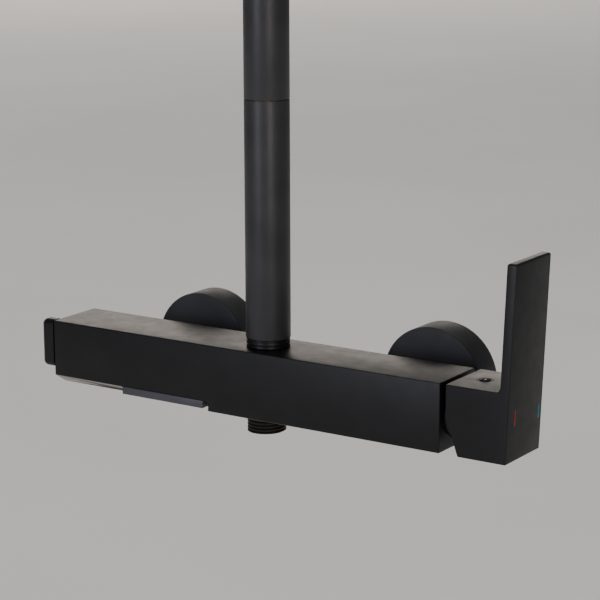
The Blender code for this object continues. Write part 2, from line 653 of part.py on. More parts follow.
def make_cartridge(mats, turret_joint, lift_joint):
    """Single-lever ceramic cartridge in the bar's right end."""
    seal_x = CARTRIDGE_FLOOR_X + GAP
    base_x = seal_x + CARTRIDGE_SEAL_THICKNESS + GAP
    chamber_x = base_x + CARTRIDGE_BASE_THICKNESS
    fixed_x = chamber_x + GAP
    moving_x = fixed_x + FIXED_DISC_THICKNESS + RUN
    carrier_x = moving_x + MOVING_DISC_THICKNESS + GAP
    turret_x = carrier_x + CARRIER_THICKNESS + CARRIER_CLEARANCE
    shoulder_x = CARTRIDGE_FLOOR_X + CARTRIDGE_SHOULDER
    neck_end_x = shoulder_x + CARTRIDGE_NECK_LENGTH
    outer = CARTRIDGE_BORE_RADIUS - GAP
    chamber = outer - CARTRIDGE_WALL
    neck_bore = TURRET_RADIUS + RUN

    seal = rod("cartridge_base_seal", outer, CARTRIDGE_SEAL_THICKNESS, (seal_x, AXIS_Y, 0), "X",
               mats["rubber"], TURNED)
    flange_end_x = turret_x + TURRET_FLANGE_THICKNESS
    profile = [(0, 0), (outer, 0), (outer, shoulder_x - base_x),
               (CARTRIDGE_NECK_RADIUS, shoulder_x - base_x),
               (CARTRIDGE_NECK_RADIUS, neck_end_x - base_x), (neck_bore, neck_end_x - base_x),
               (neck_bore, flange_end_x + RUN - base_x), (chamber, flange_end_x + RUN - base_x),
               (chamber, CARTRIDGE_BASE_THICKNESS), (0, CARTRIDGE_BASE_THICKNESS)]
    housing = turned("cartridge_housing", profile, (base_x, AXIS_Y, 0), "X", mats["plastic"])
    fixed = rod("fixed_ceramic_disc", chamber - GAP, FIXED_DISC_THICKNESS,
                (fixed_x, AXIS_Y, 0), "X", mats["ceramic"], TURNED)
    for i, (y, z) in enumerate(CARTRIDGE_PORTS):
        for piece, start, length in ((seal, seal_x, CARTRIDGE_SEAL_THICKNESS),
                                     (housing, base_x, CARTRIDGE_BASE_THICKNESS),
                                     (fixed, fixed_x, FIXED_DISC_THICKNESS)):
            drill(piece, f"{piece.name}_port_{i + 1}", CARTRIDGE_PORT_RADIUS, length + 2 * OVER,
                  (start - OVER, AXIS_Y + y, z), "X")

    moving = rod("moving_ceramic_disc", MOVING_DISC_RADIUS, MOVING_DISC_THICKNESS,
                 (moving_x, AXIS_Y, 0), "X", mats["ceramic"], TURNED)
    carrier = rod("disc_carrier", MOVING_DISC_RADIUS, CARRIER_THICKNESS,
                  (carrier_x, AXIS_Y, 0), "X", mats["plastic"], TURNED)
    pocket_floor = PIVOT_X - PIVOT_ARM - BALL_RADIUS - 2 * GAP
    drill(carrier, "ball_pocket", BALL_POCKET_RADIUS, 3 * CARRIER_THICKNESS,
          (pocket_floor, AXIS_Y, 0), "X", TURNED)

    make_turret(mats, turret_joint, turret_x, neck_end_x)
    make_stem(mats, lift_joint)
    for piece in (moving, carrier):
        ride(piece, turret_joint)

    nut_bore = CARTRIDGE_NECK_RADIUS + GAP
    nut_x = shoulder_x + GAP
    nut = tube("cartridge_nut", outer, nut_bore, CARTRIDGE_NUT_LENGTH, (nut_x, AXIS_Y, 0), "X",
               mats["brass"])
    for i in range(2):
        mill(nut, f"nut_slot_{i + 1}",
             (nut_x + CARTRIDGE_NUT_LENGTH - NUT_SLOT_DEPTH, AXIS_Y - NUT_SLOT_WIDTH / 2,
              (i - 1) * 2 * outer),
             (nut_x + CARTRIDGE_NUT_LENGTH + OVER, AXIS_Y + NUT_SLOT_WIDTH / 2,
              i * 2 * outer))
    make_dome(mats, outer, nut_x + CARTRIDGE_NUT_LENGTH)


def make_turret(mats, turret_joint, turret_x, neck_end_x):
    """Turns in the housing's neck for temperature, and carries the lever's pin."""
    length = neck_end_x - turret_x
    flange = TURRET_FLANGE_THICKNESS
    profile = [(0, 0), (TURRET_FLANGE_RADIUS, 0), (TURRET_FLANGE_RADIUS, flange),
               (TURRET_RADIUS, flange), (TURRET_RADIUS, length), (0, length)]
    turret = turned("cartridge_turret", profile, (turret_x, AXIS_Y, 0), "X", mats["plastic"])
    reach = max(neck_end_x - PIVOT_X, PIVOT_X - turret_x)
    slot = reach * math.tan(LIFT_LIMIT) + STEM_SIDE / 2 / math.cos(LIFT_LIMIT) + RUN
    mill(turret, "turret_slot", (turret_x - OVER, AXIS_Y - STEM_SIDE / 2 - RUN, -slot),
         (neck_end_x + OVER, AXIS_Y + STEM_SIDE / 2 + RUN, slot))
    half = TURRET_RADIUS - 2 * GAP
    drill(turret, "turret_pin_hole", PIVOT_PIN_RADIUS + GAP, 2 * TURRET_RADIUS + 2 * OVER,
          (PIVOT_X, AXIS_Y - TURRET_RADIUS - OVER, 0), "Y")
    pin = rod("lever_pivot_pin", PIVOT_PIN_RADIUS, 2 * half, (PIVOT_X, AXIS_Y - half, 0), "Y",
              mats["steel"])
    for piece in (turret, pin):
        ride(piece, turret_joint)


def make_stem(mats, lift_joint):
    """Square stem with a round neck and a ball end that pushes the disc carrier."""
    half = STEM_SIDE / 2
    inner = PIVOT_X - STEM_HEEL
    outer = handle_socket_floor() - GAP
    stem = box("lever_stem", (inner, AXIS_Y - half, -half), (outer, AXIS_Y + half, half),
               mats["steel"])
    ball_x = PIVOT_X - PIVOT_ARM
    neck_angle = math.acos(BALL_NECK_RADIUS / BALL_RADIUS)
    profile = [(0, -BALL_RADIUS)]
    profile += arc((0, 0), BALL_RADIUS, -math.pi / 2, neck_angle, ARC_STEPS)[1:]
    profile += [(BALL_NECK_RADIUS, inner + OVER - ball_x), (0, inner + OVER - ball_x)]
    join(stem, turned("join_ball_end", profile, (ball_x, AXIS_Y, 0), "X", None))
    drill(stem, "stem_pin_hole", PIVOT_PIN_RADIUS + RUN, STEM_SIDE + 2 * OVER,
          (PIVOT_X, AXIS_Y - half - OVER, 0), "Y")
    ride(stem, lift_joint)


def make_dome(mats, outer, nut_end_x):
    """Spherical cap round the lever's pivot, seen in the gap before the handle."""
    skirt_x = nut_end_x + GAP
    base_x = BODY_RIGHT + GAP
    inner = DOME_RADIUS - DOME_WALL
    corner = STEM_SIDE / 2 * math.sqrt(2)
    edge = math.asin(corner / inner) + LIFT_LIMIT + DOME_MOUTH_CLEARANCE
    foot = math.acos((base_x - PIVOT_X) / DOME_RADIUS)
    foot_inner = math.acos((base_x - PIVOT_X) / inner)
    steps = 3
    profile = []
    for i in range(steps + 1):
        angle = foot + (edge - foot) * i / steps
        profile.append((DOME_RADIUS * math.sin(angle), PIVOT_X + DOME_RADIUS * math.cos(angle)))
    for i in range(steps + 1):
        angle = edge + (foot_inner - edge) * i / steps
        profile.append((inner * math.sin(angle), PIVOT_X + inner * math.cos(angle)))
    skirt = inner * math.sin(foot_inner)
    profile += [(skirt, skirt_x), (skirt + DOME_WALL, skirt_x), (skirt + DOME_WALL, base_x)]
    profile = [(radius, x - skirt_x) for radius, x in profile]
    turned("dome_cap", profile, (skirt_x, AXIS_Y, 0), "X", mats["black"])


def handle_inner_x():
    return BODY_RIGHT + HANDLE_GAP


def handle_socket_floor():
    return PIVOT_X + DOME_RADIUS + HANDLE_CAVITY_CLEARANCE + SOCKET_DEPTH


def handle_outline():
    """Side view of the handle: a square block and a plate that leans outwards from it."""
    inner = handle_inner_x()
    foot = inner + HANDLE_LENGTH
    lean = math.tan(LEVER_LEAN)
    thickness = LEVER_THICKNESS / math.cos(LEVER_LEAN)

    def outer_x(z):
        return foot + (z - BOTTOM_Z) * lean

    corner = outer_x(TOP_Z) - thickness
    reach = LEVER_FILLET * math.tan((math.pi / 2 - LEVER_LEAN) / 2)
    centre = (corner - reach, TOP_Z + LEVER_FILLET)
    outline = [(inner, TOP_Z)]
    outline += arc(centre, LEVER_FILLET, -math.pi / 2, -LEVER_LEAN, ARC_STEPS)
    outline += [(outer_x(LEVER_TOP) - thickness, LEVER_TOP), (outer_x(LEVER_TOP), LEVER_TOP),
                (foot, BOTTOM_Z)]
    low = Vector((inner + RELIEF_DEPTH, BOTTOM_Z))
    high = Vector((inner, RELIEF_START))
    chord = high - low
    normal = Vector((chord.y, -chord.x)).normalized()
    hub = (low + high) / 2 + normal * math.sqrt(RELIEF_RADIUS ** 2 - chord.length_squared / 4)
    first = math.atan2(low.y - hub.y, low.x - hub.x)
    last = math.atan2(high.y - hub.y, high.x - hub.x)
    if last < first - math.pi:
        last += 2 * math.pi
    if last > first + math.pi:
        last -= 2 * math.pi
    outline += arc(hub, RELIEF_RADIUS, first, last, ARC_STEPS)
    return outline


def make_handle(mats, lift_joint):
    handle = prism("lever_handle", handle_outline(), FRONT_Y, BACK_Y, "Y", mats["black"])
    round_edges(handle, BODY_EDGE)
    cavity_radius = DOME_RADIUS + HANDLE_CAVITY_CLEARANCE
    bm = bmesh.new()
    bmesh.ops.create_uvsphere(bm, u_segments=CAVITY_SIDES, v_segments=CAVITY_RINGS, radius=cavity_radius)
    cut(handle, place_mesh(bm, "cut_handle_cavity", None,
                           Matrix.Translation((PIVOT_X, AXIS_Y, 0))))
    half = STEM_SIDE / 2 + SOCKET_CLEARANCE
    mill(handle, "handle_socket", (PIVOT_X + cavity_radius / 2, AXIS_Y - half, -half),
         (handle_socket_floor(), AXIS_Y + half, half))
    plug_x = handle_inner_x() + PLUG_SETBACK
    drill(handle, "plug_recess", PLUG_RADIUS + GAP, PLUG_DEPTH + GAP + OVER,
          (plug_x, AXIS_Y, TOP_Z - PLUG_DEPTH - GAP), "Z", TURNED)
    drill(handle, "handle_screw_hole", HANDLE_SCREW_RADIUS + GAP, TOP_Z,
          (plug_x, AXIS_Y, half - OVER), "Z")
    screw_foot = STEM_SIDE / 2 + GAP
    screw = rod("handle_grub_screw", HANDLE_SCREW_RADIUS, HANDLE_SCREW_LENGTH,
                (plug_x, AXIS_Y, screw_foot), "Z", mats["steel"])
    drill(screw, "handle_hex_socket", HANDLE_HEX_RADIUS, HEX_DEPTH + OVER,
          (plug_x, AXIS_Y, screw_foot + HANDLE_SCREW_LENGTH - HEX_DEPTH), "Z", 6)
    plug = rod("indicator_plug", PLUG_RADIUS, PLUG_DEPTH,
               (plug_x, AXIS_Y, TOP_Z - PLUG_DEPTH), "Z", mats["red"], TURNED)
    for piece in (handle, screw, plug):
        ride(piece, lift_joint)


def make_diverter(mats, turn_joint):
    """Ceramic diverter in the bar's left end, turned by a knob with an upright tab."""
    def at(x):
        return (x, DIVERTER_Y, DIVERTER_Z)

    outer = DIVERTER_BORE_RADIUS - GAP
    chamber = outer - DIVERTER_WALL
    base = DIVERTER_FLOOR_X - GAP
    chamber_end = DIVERTER_BASE_THICKNESS + DIVERTER_CHAMBER_LENGTH
    hole = SPINDLE_RADIUS + RUN
    profile = [(0, 0), (outer, 0), (outer, DIVERTER_HOUSING_LENGTH),
               (hole, DIVERTER_HOUSING_LENGTH), (hole, chamber_end), (chamber, chamber_end),
               (chamber, DIVERTER_BASE_THICKNESS), (0, DIVERTER_BASE_THICKNESS)]
    housing = turned("diverter_housing", profile, at(base), "-X", mats["plastic"])
    fixed_x = base - DIVERTER_BASE_THICKNESS - GAP
    fixed = rod("diverter_fixed_disc", chamber - GAP, DIVERTER_DISC_THICKNESS, at(fixed_x), "-X",
                mats["ceramic"], TURNED)
    moving_x = fixed_x - DIVERTER_DISC_THICKNESS - RUN
    moving = rod("diverter_moving_disc", chamber - GAP, DIVERTER_DISC_THICKNESS, at(moving_x),
                 "-X", mats["ceramic"], TURNED)
    for i in range(4):
        angle = math.radians(45 + 90 * i)
        y = DIVERTER_Y + DIVERTER_PORT_CIRCLE * math.cos(angle)
        z = DIVERTER_Z + DIVERTER_PORT_CIRCLE * math.sin(angle)
        for piece, end, length in ((housing, base, DIVERTER_BASE_THICKNESS),
                                   (fixed, fixed_x, DIVERTER_DISC_THICKNESS)):
            drill(piece, f"{piece.name}_port_{i + 1}", DIVERTER_PORT_RADIUS, length + 2 * OVER,
                  (end - length - OVER, y, z), "X")
        if i < 2:
            drill(moving, f"{moving.name}_port_{i + 1}", DIVERTER_PORT_RADIUS,
                  DIVERTER_DISC_THICKNESS + 2 * OVER,
                  (moving_x - DIVERTER_DISC_THICKNESS - OVER, y, z), "X")

    flange_x = moving_x - DIVERTER_DISC_THICKNESS - GAP
    knob_x = -BODY_LEFT - KNOB_GAP
    spindle_end = knob_x - KNOB_DEPTH + SPINDLE_END_INSET
    length = flange_x - spindle_end
    ring_start = base - chamber_end - SPINDLE_RING_INSET
    ring_width = SPINDLE_RING_WIDTH
    groove_start = flange_x - ring_start
    groove = SPINDLE_RADIUS - DIVERTER_RING_GROOVE
    profile = [(0, 0), (chamber - GAP, 0), (chamber - GAP, SPINDLE_FLANGE_THICKNESS),
               (SPINDLE_RADIUS, SPINDLE_FLANGE_THICKNESS), (SPINDLE_RADIUS, groove_start),
               (groove, groove_start), (groove, groove_start + ring_width),
               (SPINDLE_RADIUS, groove_start + ring_width), (SPINDLE_RADIUS, length),
               (0, length)]
    spindle = turned("diverter_spindle", profile, at(flange_x), "-X", mats["brass"])
    seal = tube("diverter_spindle_seal", SPINDLE_RADIUS, groove + RUN / 2, ring_width - 2 * RUN,
                at(ring_start - RUN), "-X", mats["rubber"])
    nut_start = base - DIVERTER_HOUSING_LENGTH - GAP
    tube("diverter_nut", outer, SPINDLE_RADIUS + GAP, nut_start + BODY_LEFT - GAP,
         at(nut_start), "-X", mats["brass"])

    half = KNOB_SIDE / 2
    tab_front = DIVERTER_Y - half
    knob = box("diverter_knob", (knob_x - KNOB_DEPTH, tab_front, DIVERTER_Z - half),
               (knob_x, tab_front + KNOB_TAB_THICKNESS, DIVERTER_Z + half), mats["black"])
    round_outer_edges(knob, knob_x)
    half_facet = math.pi / TURNED
    join(knob, rod("knob_hub", KNOB_HUB_RADIUS, KNOB_DEPTH - KNOB_HUB_STEP - GAP,
                   (knob_x - GAP, DIVERTER_Y, DIVERTER_Z), "-X", None, TURNED, half_facet))
    drill(knob, "knob_socket", SPINDLE_RADIUS + GAP, knob_x - spindle_end + GAP + OVER,
          (spindle_end - GAP, DIVERTER_Y, DIVERTER_Z), "X", TURNED)
    screw_x = knob_x - KNOB_DEPTH / 2 + OVER
    screw_length = KNOB_HUB_RADIUS - SPINDLE_RADIUS - 2 * GAP - KNOB_SCREW_INSET
    screw_foot = DIVERTER_Z - SPINDLE_RADIUS - GAP
    drill(knob, "knob_screw_hole", KNOB_SCREW_RADIUS + GAP, half,
          (screw_x, DIVERTER_Y, screw_foot + OVER), "-Z")
    screw = rod("knob_grub_screw", KNOB_SCREW_RADIUS, screw_length,
                (screw_x, DIVERTER_Y, screw_foot), "-Z", mats["steel"])
    drill(screw, "knob_hex_socket", KNOB_HEX_RADIUS, HEX_DEPTH + OVER,
          (screw_x, DIVERTER_Y, screw_foot - screw_length + HEX_DEPTH), "-Z", 6)
    for piece in (moving, spindle, seal, knob, screw):
        ride(piece, turn_joint)


def round_outer_edges(knob, inner_x):
    """Large rounds on every edge of the tab but those next to the bar."""
    bm = bmesh.new()
    bm.from_mesh(knob.data)
    edges = [edge for edge in bm.edges
             if min((knob.matrix_world @ vert.co).x for vert in edge.verts) < inner_x - GAP]
    bmesh.ops.bevel(bm, geom=edges, offset=KNOB_ROUND, segments=4, profile=0.5, affect="EDGES")
    bmesh.ops.recalc_face_normals(bm, faces=bm.faces)
    bm.to_mesh(knob.data)
    bm.free()
    knob.data.shade_smooth()
    knob.data.set_sharp_from_angle(angle=math.radians(40))


def make_riser(mats):
    """Threaded spigot with a grooved collar, and the two lengths of pipe above it."""
    collar = TOP_Z + GAP
    collar_top = collar + COLLAR_HEIGHT
    start = TOP_Z - RISER_PORT_DEPTH + GAP
    groove = COLLAR_RADIUS - COLLAR_GROOVE_DEPTH
    bore = RISER_RADIUS - RISER_WALL
    spigot = bore - GAP
    profile = [(SPIGOT_BORE_RADIUS, start), (RISER_PORT_RADIUS - GAP, start),
               (RISER_PORT_RADIUS - GAP, collar), (COLLAR_RADIUS, collar)]
    for offset in COLLAR_GROOVES:
        low = collar + offset
        profile += [(COLLAR_RADIUS, low), (groove, low), (groove, low + COLLAR_GROOVE_WIDTH),
                    (COLLAR_RADIUS, low + COLLAR_GROOVE_WIDTH)]
    profile += [(COLLAR_RADIUS, collar_top), (spigot, collar_top)]
    for offset in RING_OFFSETS:
        low = collar_top + offset - RING_GROOVE_WIDTH / 2
        high = low + RING_GROOVE_WIDTH
        root = spigot - RING_GROOVE_DEPTH
        profile += [(spigot, low), (root, low), (root, high), (spigot, high)]
    top = collar_top + SPIGOT_LENGTH
    profile += [(spigot, top), (SPIGOT_BORE_RADIUS, top)]
    profile = [(radius, height - start) for radius, height in profile]
    piece = turned("riser_spigot", profile, (RISER_X, AXIS_Y, start), "Z", mats["black"])
    for i, offset in enumerate(RING_OFFSETS):
        tube(f"riser_seal_{i + 1}", spigot, spigot - RING_GROOVE_DEPTH + RUN,
             RING_GROOVE_WIDTH - 2 * RUN,
             (RISER_X, AXIS_Y, collar_top + offset - RING_GROOVE_WIDTH / 2 + RUN), "Z",
             mats["rubber"])

    seam = RISER_SEAM_HEIGHT
    lower = tube("riser_pipe_lower", RISER_RADIUS, bore, seam - collar_top - GAP,
                 (RISER_X, AXIS_Y, collar_top + GAP), "Z", mats["black"], FINE)
    tube("riser_pipe_upper", RISER_RADIUS, bore, RISER_TOP_HEIGHT - seam - GAP,
         (RISER_X, AXIS_Y, seam + GAP), "Z", mats["black"], FINE)
    tube("riser_joint_sleeve", spigot, spigot - RISER_SLEEVE_WALL, 2 * RISER_SLEEVE_REACH,
         (RISER_X, AXIS_Y, seam - RISER_SLEEVE_REACH), "Z", mats["brass"])

    screw_z = collar_top + RISER_SCREW_HEIGHT
    tip = AXIS_Y + RISER_RADIUS - RISER_SCREW_LENGTH
    drill(lower, "riser_screw_hole", RISER_SCREW_RADIUS + GAP, RISER_RADIUS,
          (RISER_X, tip, screw_z), "Y")
    drill(piece, "riser_screw_seat", RISER_SCREW_RADIUS + GAP, RISER_RADIUS,
          (RISER_X, tip - GAP, screw_z), "Y")
    screw = rod("riser_grub_screw", RISER_SCREW_RADIUS, RISER_SCREW_LENGTH - GAP,
                (RISER_X, tip, screw_z), "Y", mats["steel"])
    drill(screw, "riser_hex_socket", RISER_HEX_RADIUS, HEX_DEPTH + OVER,
          (RISER_X, tip + RISER_SCREW_LENGTH - HEX_DEPTH, screw_z), "Y", 6)


def make_hose_outlet(mats):
    """Threaded outlet for the hand-shower hose, under the bar."""
    start = BOTTOM_Z + OUTLET_PORT_DEPTH - GAP
    shoulder = BOTTOM_Z - GAP
    end = shoulder - OUTLET_LENGTH
    root = OUTLET_THREAD_RADIUS - OUTLET_THREAD_DEPTH
    pitch = OUTLET_LENGTH / (OUTLET_THREADS + 0.5)
    profile = [(OUTLET_BORE_RADIUS, start), (OUTLET_PORT_RADIUS - GAP, start),
               (OUTLET_PORT_RADIUS - GAP, shoulder), (OUTLET_THREAD_RADIUS, shoulder)]
    for i in range(OUTLET_THREADS):
        top = shoulder - pitch * (i + 0.5)
        flank, trough = pitch * THREAD_FLANK, pitch * THREAD_TROUGH
        profile += [(OUTLET_THREAD_RADIUS, top), (root, top - flank),
                    (root, top - flank - trough),
                    (OUTLET_THREAD_RADIUS, top - 2 * flank - trough)]
    profile += [(OUTLET_THREAD_RADIUS, end), (OUTLET_BORE_RADIUS, end)]
    profile = [(radius, start - height) for radius, height in profile]
    turned("hose_outlet_nipple", profile, (OUTLET_X, AXIS_Y, start), "-Z", mats["black"])
    tube("hose_outlet_seal", OUTLET_SEAL_RADIUS, OUTLET_PORT_RADIUS,
         OUTLET_SEAL_THICKNESS - GAP, (OUTLET_X, AXIS_Y, BOTTOM_Z), "Z", mats["rubber"])


def make_cascade(mats):
    """Nozzle insert set in the sloping face, with its gasket, strainer and screws."""
    nozzle = box("cascade_nozzle", (NOZZLE_X0, FRONT_Y, NOZZLE_TOP_Z - NOZZLE_HEIGHT),
                 (NOZZLE_X0 + NOZZLE_LENGTH, FRONT_Y + NOZZLE_DEPTH, NOZZLE_TOP_Z), mats["grey"])
    half = MOUTH_LENGTH / 2
    mill(nozzle, "cascade_mouth",
         (NOZZLE_MID_X - half, MOUTH_Y - MOUTH_WIDTH / 2, NOZZLE_TOP_Z - NOZZLE_HEIGHT - OVER),
         (NOZZLE_MID_X + half, MOUTH_Y + MOUTH_WIDTH / 2, NOZZLE_TOP_Z + OVER))
    screw_y = FRONT_Y + NOZZLE_SCREW_SETBACK
    under = NOZZLE_TOP_Z - NOZZLE_HEIGHT
    for i, x in enumerate(nozzle_screw_places()):
        step = OVER + NOZZLE_SCREW_HEAD + 2 * GAP
        way = NOZZLE_SCREW_RADIUS + GAP
        end = NOZZLE_HEIGHT + 2 * OVER
        profile = [(0, 0), (NOZZLE_SCREW_HEAD_RADIUS + GAP, 0),
                   (NOZZLE_SCREW_HEAD_RADIUS + GAP, step), (way, step), (way, end), (0, end)]
        cut(nozzle, turned(f"cut_nozzle_screw_way_{i + 1}", profile, (x, screw_y, under - OVER),
                           "Z", None, SMALL))
        profile = [(0, 0), (NOZZLE_SCREW_HEAD_RADIUS, 0),
                   (NOZZLE_SCREW_HEAD_RADIUS, NOZZLE_SCREW_HEAD),
                   (NOZZLE_SCREW_RADIUS, NOZZLE_SCREW_HEAD),
                   (NOZZLE_SCREW_RADIUS, NOZZLE_SCREW_LENGTH), (0, NOZZLE_SCREW_LENGTH)]
        turned(f"nozzle_screw_{i + 1}", profile, (x, screw_y, under + GAP), "Z", mats["steel"],
               SMALL)

    half_length = half + GASKET_RIM
    half_width = MOUTH_WIDTH / 2 + GASKET_RIM
    gasket_z = NOZZLE_TOP_Z + GAP
    gasket = box("nozzle_gasket", (NOZZLE_MID_X - half_length, MOUTH_Y - half_width, gasket_z),
                 (NOZZLE_MID_X + half_length, MOUTH_Y + half_width, gasket_z + GASKET_THICKNESS),
                 mats["rubber"])
    mill(gasket, "gasket_window", (NOZZLE_MID_X - half, MOUTH_Y - MOUTH_WIDTH / 2,
                                   gasket_z - OVER),
         (NOZZLE_MID_X + half, MOUTH_Y + MOUTH_WIDTH / 2, gasket_z + GASKET_THICKNESS + OVER))

    strainer_z = gasket_z + GASKET_THICKNESS + 2 * GAP
    strainer_half = CHAMBER_LENGTH / 2 - GAP
    strainer_width = CHAMBER_WIDTH / 2 - GAP
    strainer = box("cascade_strainer",
                   (NOZZLE_MID_X - strainer_half, MOUTH_Y - strainer_width, strainer_z),
                   (NOZZLE_MID_X + strainer_half, MOUTH_Y + strainer_width,
                    strainer_z + STRAINER_THICKNESS), mats["steel"])
    pitch = 2 * strainer_half / STRAINER_SLOTS
    for i in range(STRAINER_SLOTS):
        x = NOZZLE_MID_X - strainer_half + pitch * (i + 0.5)
        mill(strainer, f"strainer_slot_{i + 1}",
             (x - pitch * 0.3, MOUTH_Y - strainer_width * 0.6, strainer_z - OVER),
             (x + pitch * 0.3, MOUTH_Y + strainer_width * 0.6,
              strainer_z + STRAINER_THICKNESS + OVER))


def main():
    clear_scene()
    mats = make_materials()
    pivot = (PIVOT_X, AXIS_Y, 0)
    turret_joint = joint_empty("temperature_turn", pivot)
    lift_joint = joint_empty("handle_lift", pivot, turret_joint)
    diverter_joint = joint_empty("diverter_turn", (-BODY_LEFT, DIVERTER_Y, DIVERTER_Z))
    make_body(mats)
    for side in (-1, 1):
        make_inlet(side, mats)
    make_cartridge(mats, turret_joint, lift_joint)
    make_handle(mats, lift_joint)
    make_diverter(mats, diverter_joint)
    make_riser(mats)
    make_hose_outlet(mats)
    make_cascade(mats)


main()
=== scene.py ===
"""Looks of the single-lever mixer bar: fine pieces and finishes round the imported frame.

Metres, in the frame's own axes: +X to the right along the bar, +Y into the wall, +Z up.
"""
import json
import math

import bmesh
import bpy
from mathutils import Matrix, Vector


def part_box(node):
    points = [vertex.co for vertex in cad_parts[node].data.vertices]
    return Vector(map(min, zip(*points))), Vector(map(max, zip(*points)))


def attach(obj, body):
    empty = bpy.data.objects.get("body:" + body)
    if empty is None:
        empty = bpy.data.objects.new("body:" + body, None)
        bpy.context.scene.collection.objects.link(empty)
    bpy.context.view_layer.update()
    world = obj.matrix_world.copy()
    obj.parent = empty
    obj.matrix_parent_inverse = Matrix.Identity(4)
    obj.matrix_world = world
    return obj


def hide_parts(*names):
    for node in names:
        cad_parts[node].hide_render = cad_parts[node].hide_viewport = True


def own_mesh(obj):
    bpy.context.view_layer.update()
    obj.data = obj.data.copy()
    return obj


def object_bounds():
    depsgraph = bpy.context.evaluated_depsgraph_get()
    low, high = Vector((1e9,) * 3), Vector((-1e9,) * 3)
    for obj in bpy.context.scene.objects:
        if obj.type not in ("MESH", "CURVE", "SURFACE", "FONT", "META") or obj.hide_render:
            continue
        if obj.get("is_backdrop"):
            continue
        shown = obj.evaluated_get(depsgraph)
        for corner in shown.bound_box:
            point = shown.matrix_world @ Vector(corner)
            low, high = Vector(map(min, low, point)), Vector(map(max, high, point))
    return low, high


MM = 0.001

# Workshop values
GAP = 0.3 * MM                  # clearance round a piece that sits in another
OVER = 1.0 * MM                 # how far a cutter runs past the face that it opens
LARGE_SIDES = 128               # sides of the pipes and the wall covers
SIDES = 96                      # sides of a round piece
SMALL_SIDES = 48                # sides of a small hole
EDGE = 0.6 * MM                 # the ground-off edge of the bar and the lever
FINE_EDGE = 0.25 * MM           # the broken edge of a turned piece
BURR_EDGE = 0.15 * MM           # a machined edge with only its burr taken off
RING_EDGE = 0.12 * MM           # the same on narrow rings and grooves
CORNERS_ONLY = math.radians(60)  # softens turned corners, and leaves the facets of a round
SMOOTH_ANGLE = math.radians(32)  # faces that meet at less are shaded as one surface
MERGE = 0.01 * MM               # points of one coil that are closer than this are one

# Bar
CHAMFER_DEPTH = 8.6 * MM        # how far the cascade's slope runs back under the bar
CHAMFER_PAST_NOZZLE = 3.6 * MM  # nozzle's right end to the end of the slope
SLOPE_MATCH = 0.995             # how squarely a face lies on the slope, as a cosine
RISER_PORT_RADIUS = 9.6 * MM
OUTLET_PORT_RADIUS = 8.3 * MM
OUTLET_PORT_DEPTH = 7.2 * MM
INLET_PORT_RADIUS = 9.25 * MM
INLET_PORT_DEPTH = 14.0 * MM

# Cascade nozzle
NOZZLE_EDGE = 0.4 * MM
NOZZLE_RIM = 1.2 * MM           # gasket's outline to the mouth
NOZZLE_SCREW_RADIUS = 1.0 * MM
NOZZLE_HEAD_DEPTH = 2.2 * MM    # counterbore for each screw's head

# Lever
LEVER_THICKNESS = 5.3 * MM
LEVER_LEAN = math.radians(2.5)
LEVER_FILLET = 2.8 * MM
LEVER_TOP_ROUND = 1.2 * MM
RELIEF_START = 7.6 * MM         # height where the block's inner face starts to curve away
RELIEF_DEPTH = 7.1 * MM
RELIEF_RADIUS = 130.0 * MM
RELIEF_STEPS = 12
LEVER_SOFT_ANGLE = math.radians(24)     # the relief's own facets stay under this
SOCKET_CLEARANCE = 0.2 * MM
CAVITY_CLEARANCE = 1.5 * MM     # dome to the hollow over it

# Marks on the lever's outer face, from the axis of the bar
MARK_THICKNESS = 0.05 * MM      # printed enamel, proud of the face
MARK_EDGE = 0.03 * MM
HOT_MARK = (-10.5 * MM, 0.4 * MM, 8.3 * MM, 0.6 * MM)      # y, lowest z, highest z, width
COLD_MARK = (14.6 * MM, -1.1 * MM, 5.7 * MM, 0.9 * MM)

# Indicator in the top of the lever's block
PLUG_RING = 1.0 * MM            # width of the black ring round the two colours
PLUG_STEP = 0.2 * MM            # how far the colours sit below the ring
PLUG_SLANT = 0.2 * MM           # how much the ring's inner side leans
PLUG_CLEARANCE = 0.25 * MM      # ring to the two colours
PLUG_CROWN = 1.1 * MM
CROWN_STEPS = 6
# The white dot on the indicator's crown is a painted highlight
DOT_RADIUS = 0.5 * MM
DOT_ROUND = 0.1 * MM
COLOUR_TURN = math.radians(35)  # the line between the two colours, turned about Z
DOT_OFFSET = 1.5 * MM           # painted highlight: a white dot, from the middle into the cold half

# Diverter knob
KNOB_TAB_THICKNESS = 8.5 * MM
KNOB_HUB_STEP = 1.0 * MM        # tab's outer face to the hub's
KNOB_HUB_EDGE = 0.8 * MM
KNOB_ROUND = 3.2 * MM
SPINDLE_RADIUS = 3.5 * MM

# Dome cap
DOME_WALL = 1.2 * MM
DOME_STEPS = 16

# Wall covers
COVER_WALL = 1.2 * MM
COVER_EDGE = 0.9 * MM

# Inlet nipples, behind the bar
NIPPLE_BORE = 6.8 * MM
NIPPLE_SLEEVE = 10.0 * MM
NIPPLE_NECK = 8.2 * MM
NIPPLE_FLANGE_LENGTH = 2.2 * MM

# Wall unions
UNION_BORE = 7.5 * MM
WALL_BORE = 6.0 * MM
WALL_THREAD_RADIUS = 10.48 * MM
WALL_THREAD_START = -1.5 * MM   # just in front of the wall

# Check valve springs
SPRING_TURNS = 4
SPRING_WIRE_RADIUS = 0.3 * MM
SPRING_WIRE_SIDES = 16

# Riser
PIPE_WALL = 1.5 * MM
PIPE_EDGE = 0.2 * MM
COLLAR_HEIGHT = 4.5 * MM
COLLAR_GROOVES = (1.1 * MM, 3.2 * MM)   # up from the collar's foot
COLLAR_GROOVE_WIDTH = 0.6 * MM
COLLAR_GROOVE_DEPTH = 0.5 * MM
SPIGOT_BORE = 6.5 * MM
RING_GROOVE_DEPTH = 1.3 * MM

# Half-inch pipe thread, on the hose outlet and the wall unions
THREAD_PITCH = 1.814 * MM
THREAD_DEPTH = 1.0 * MM
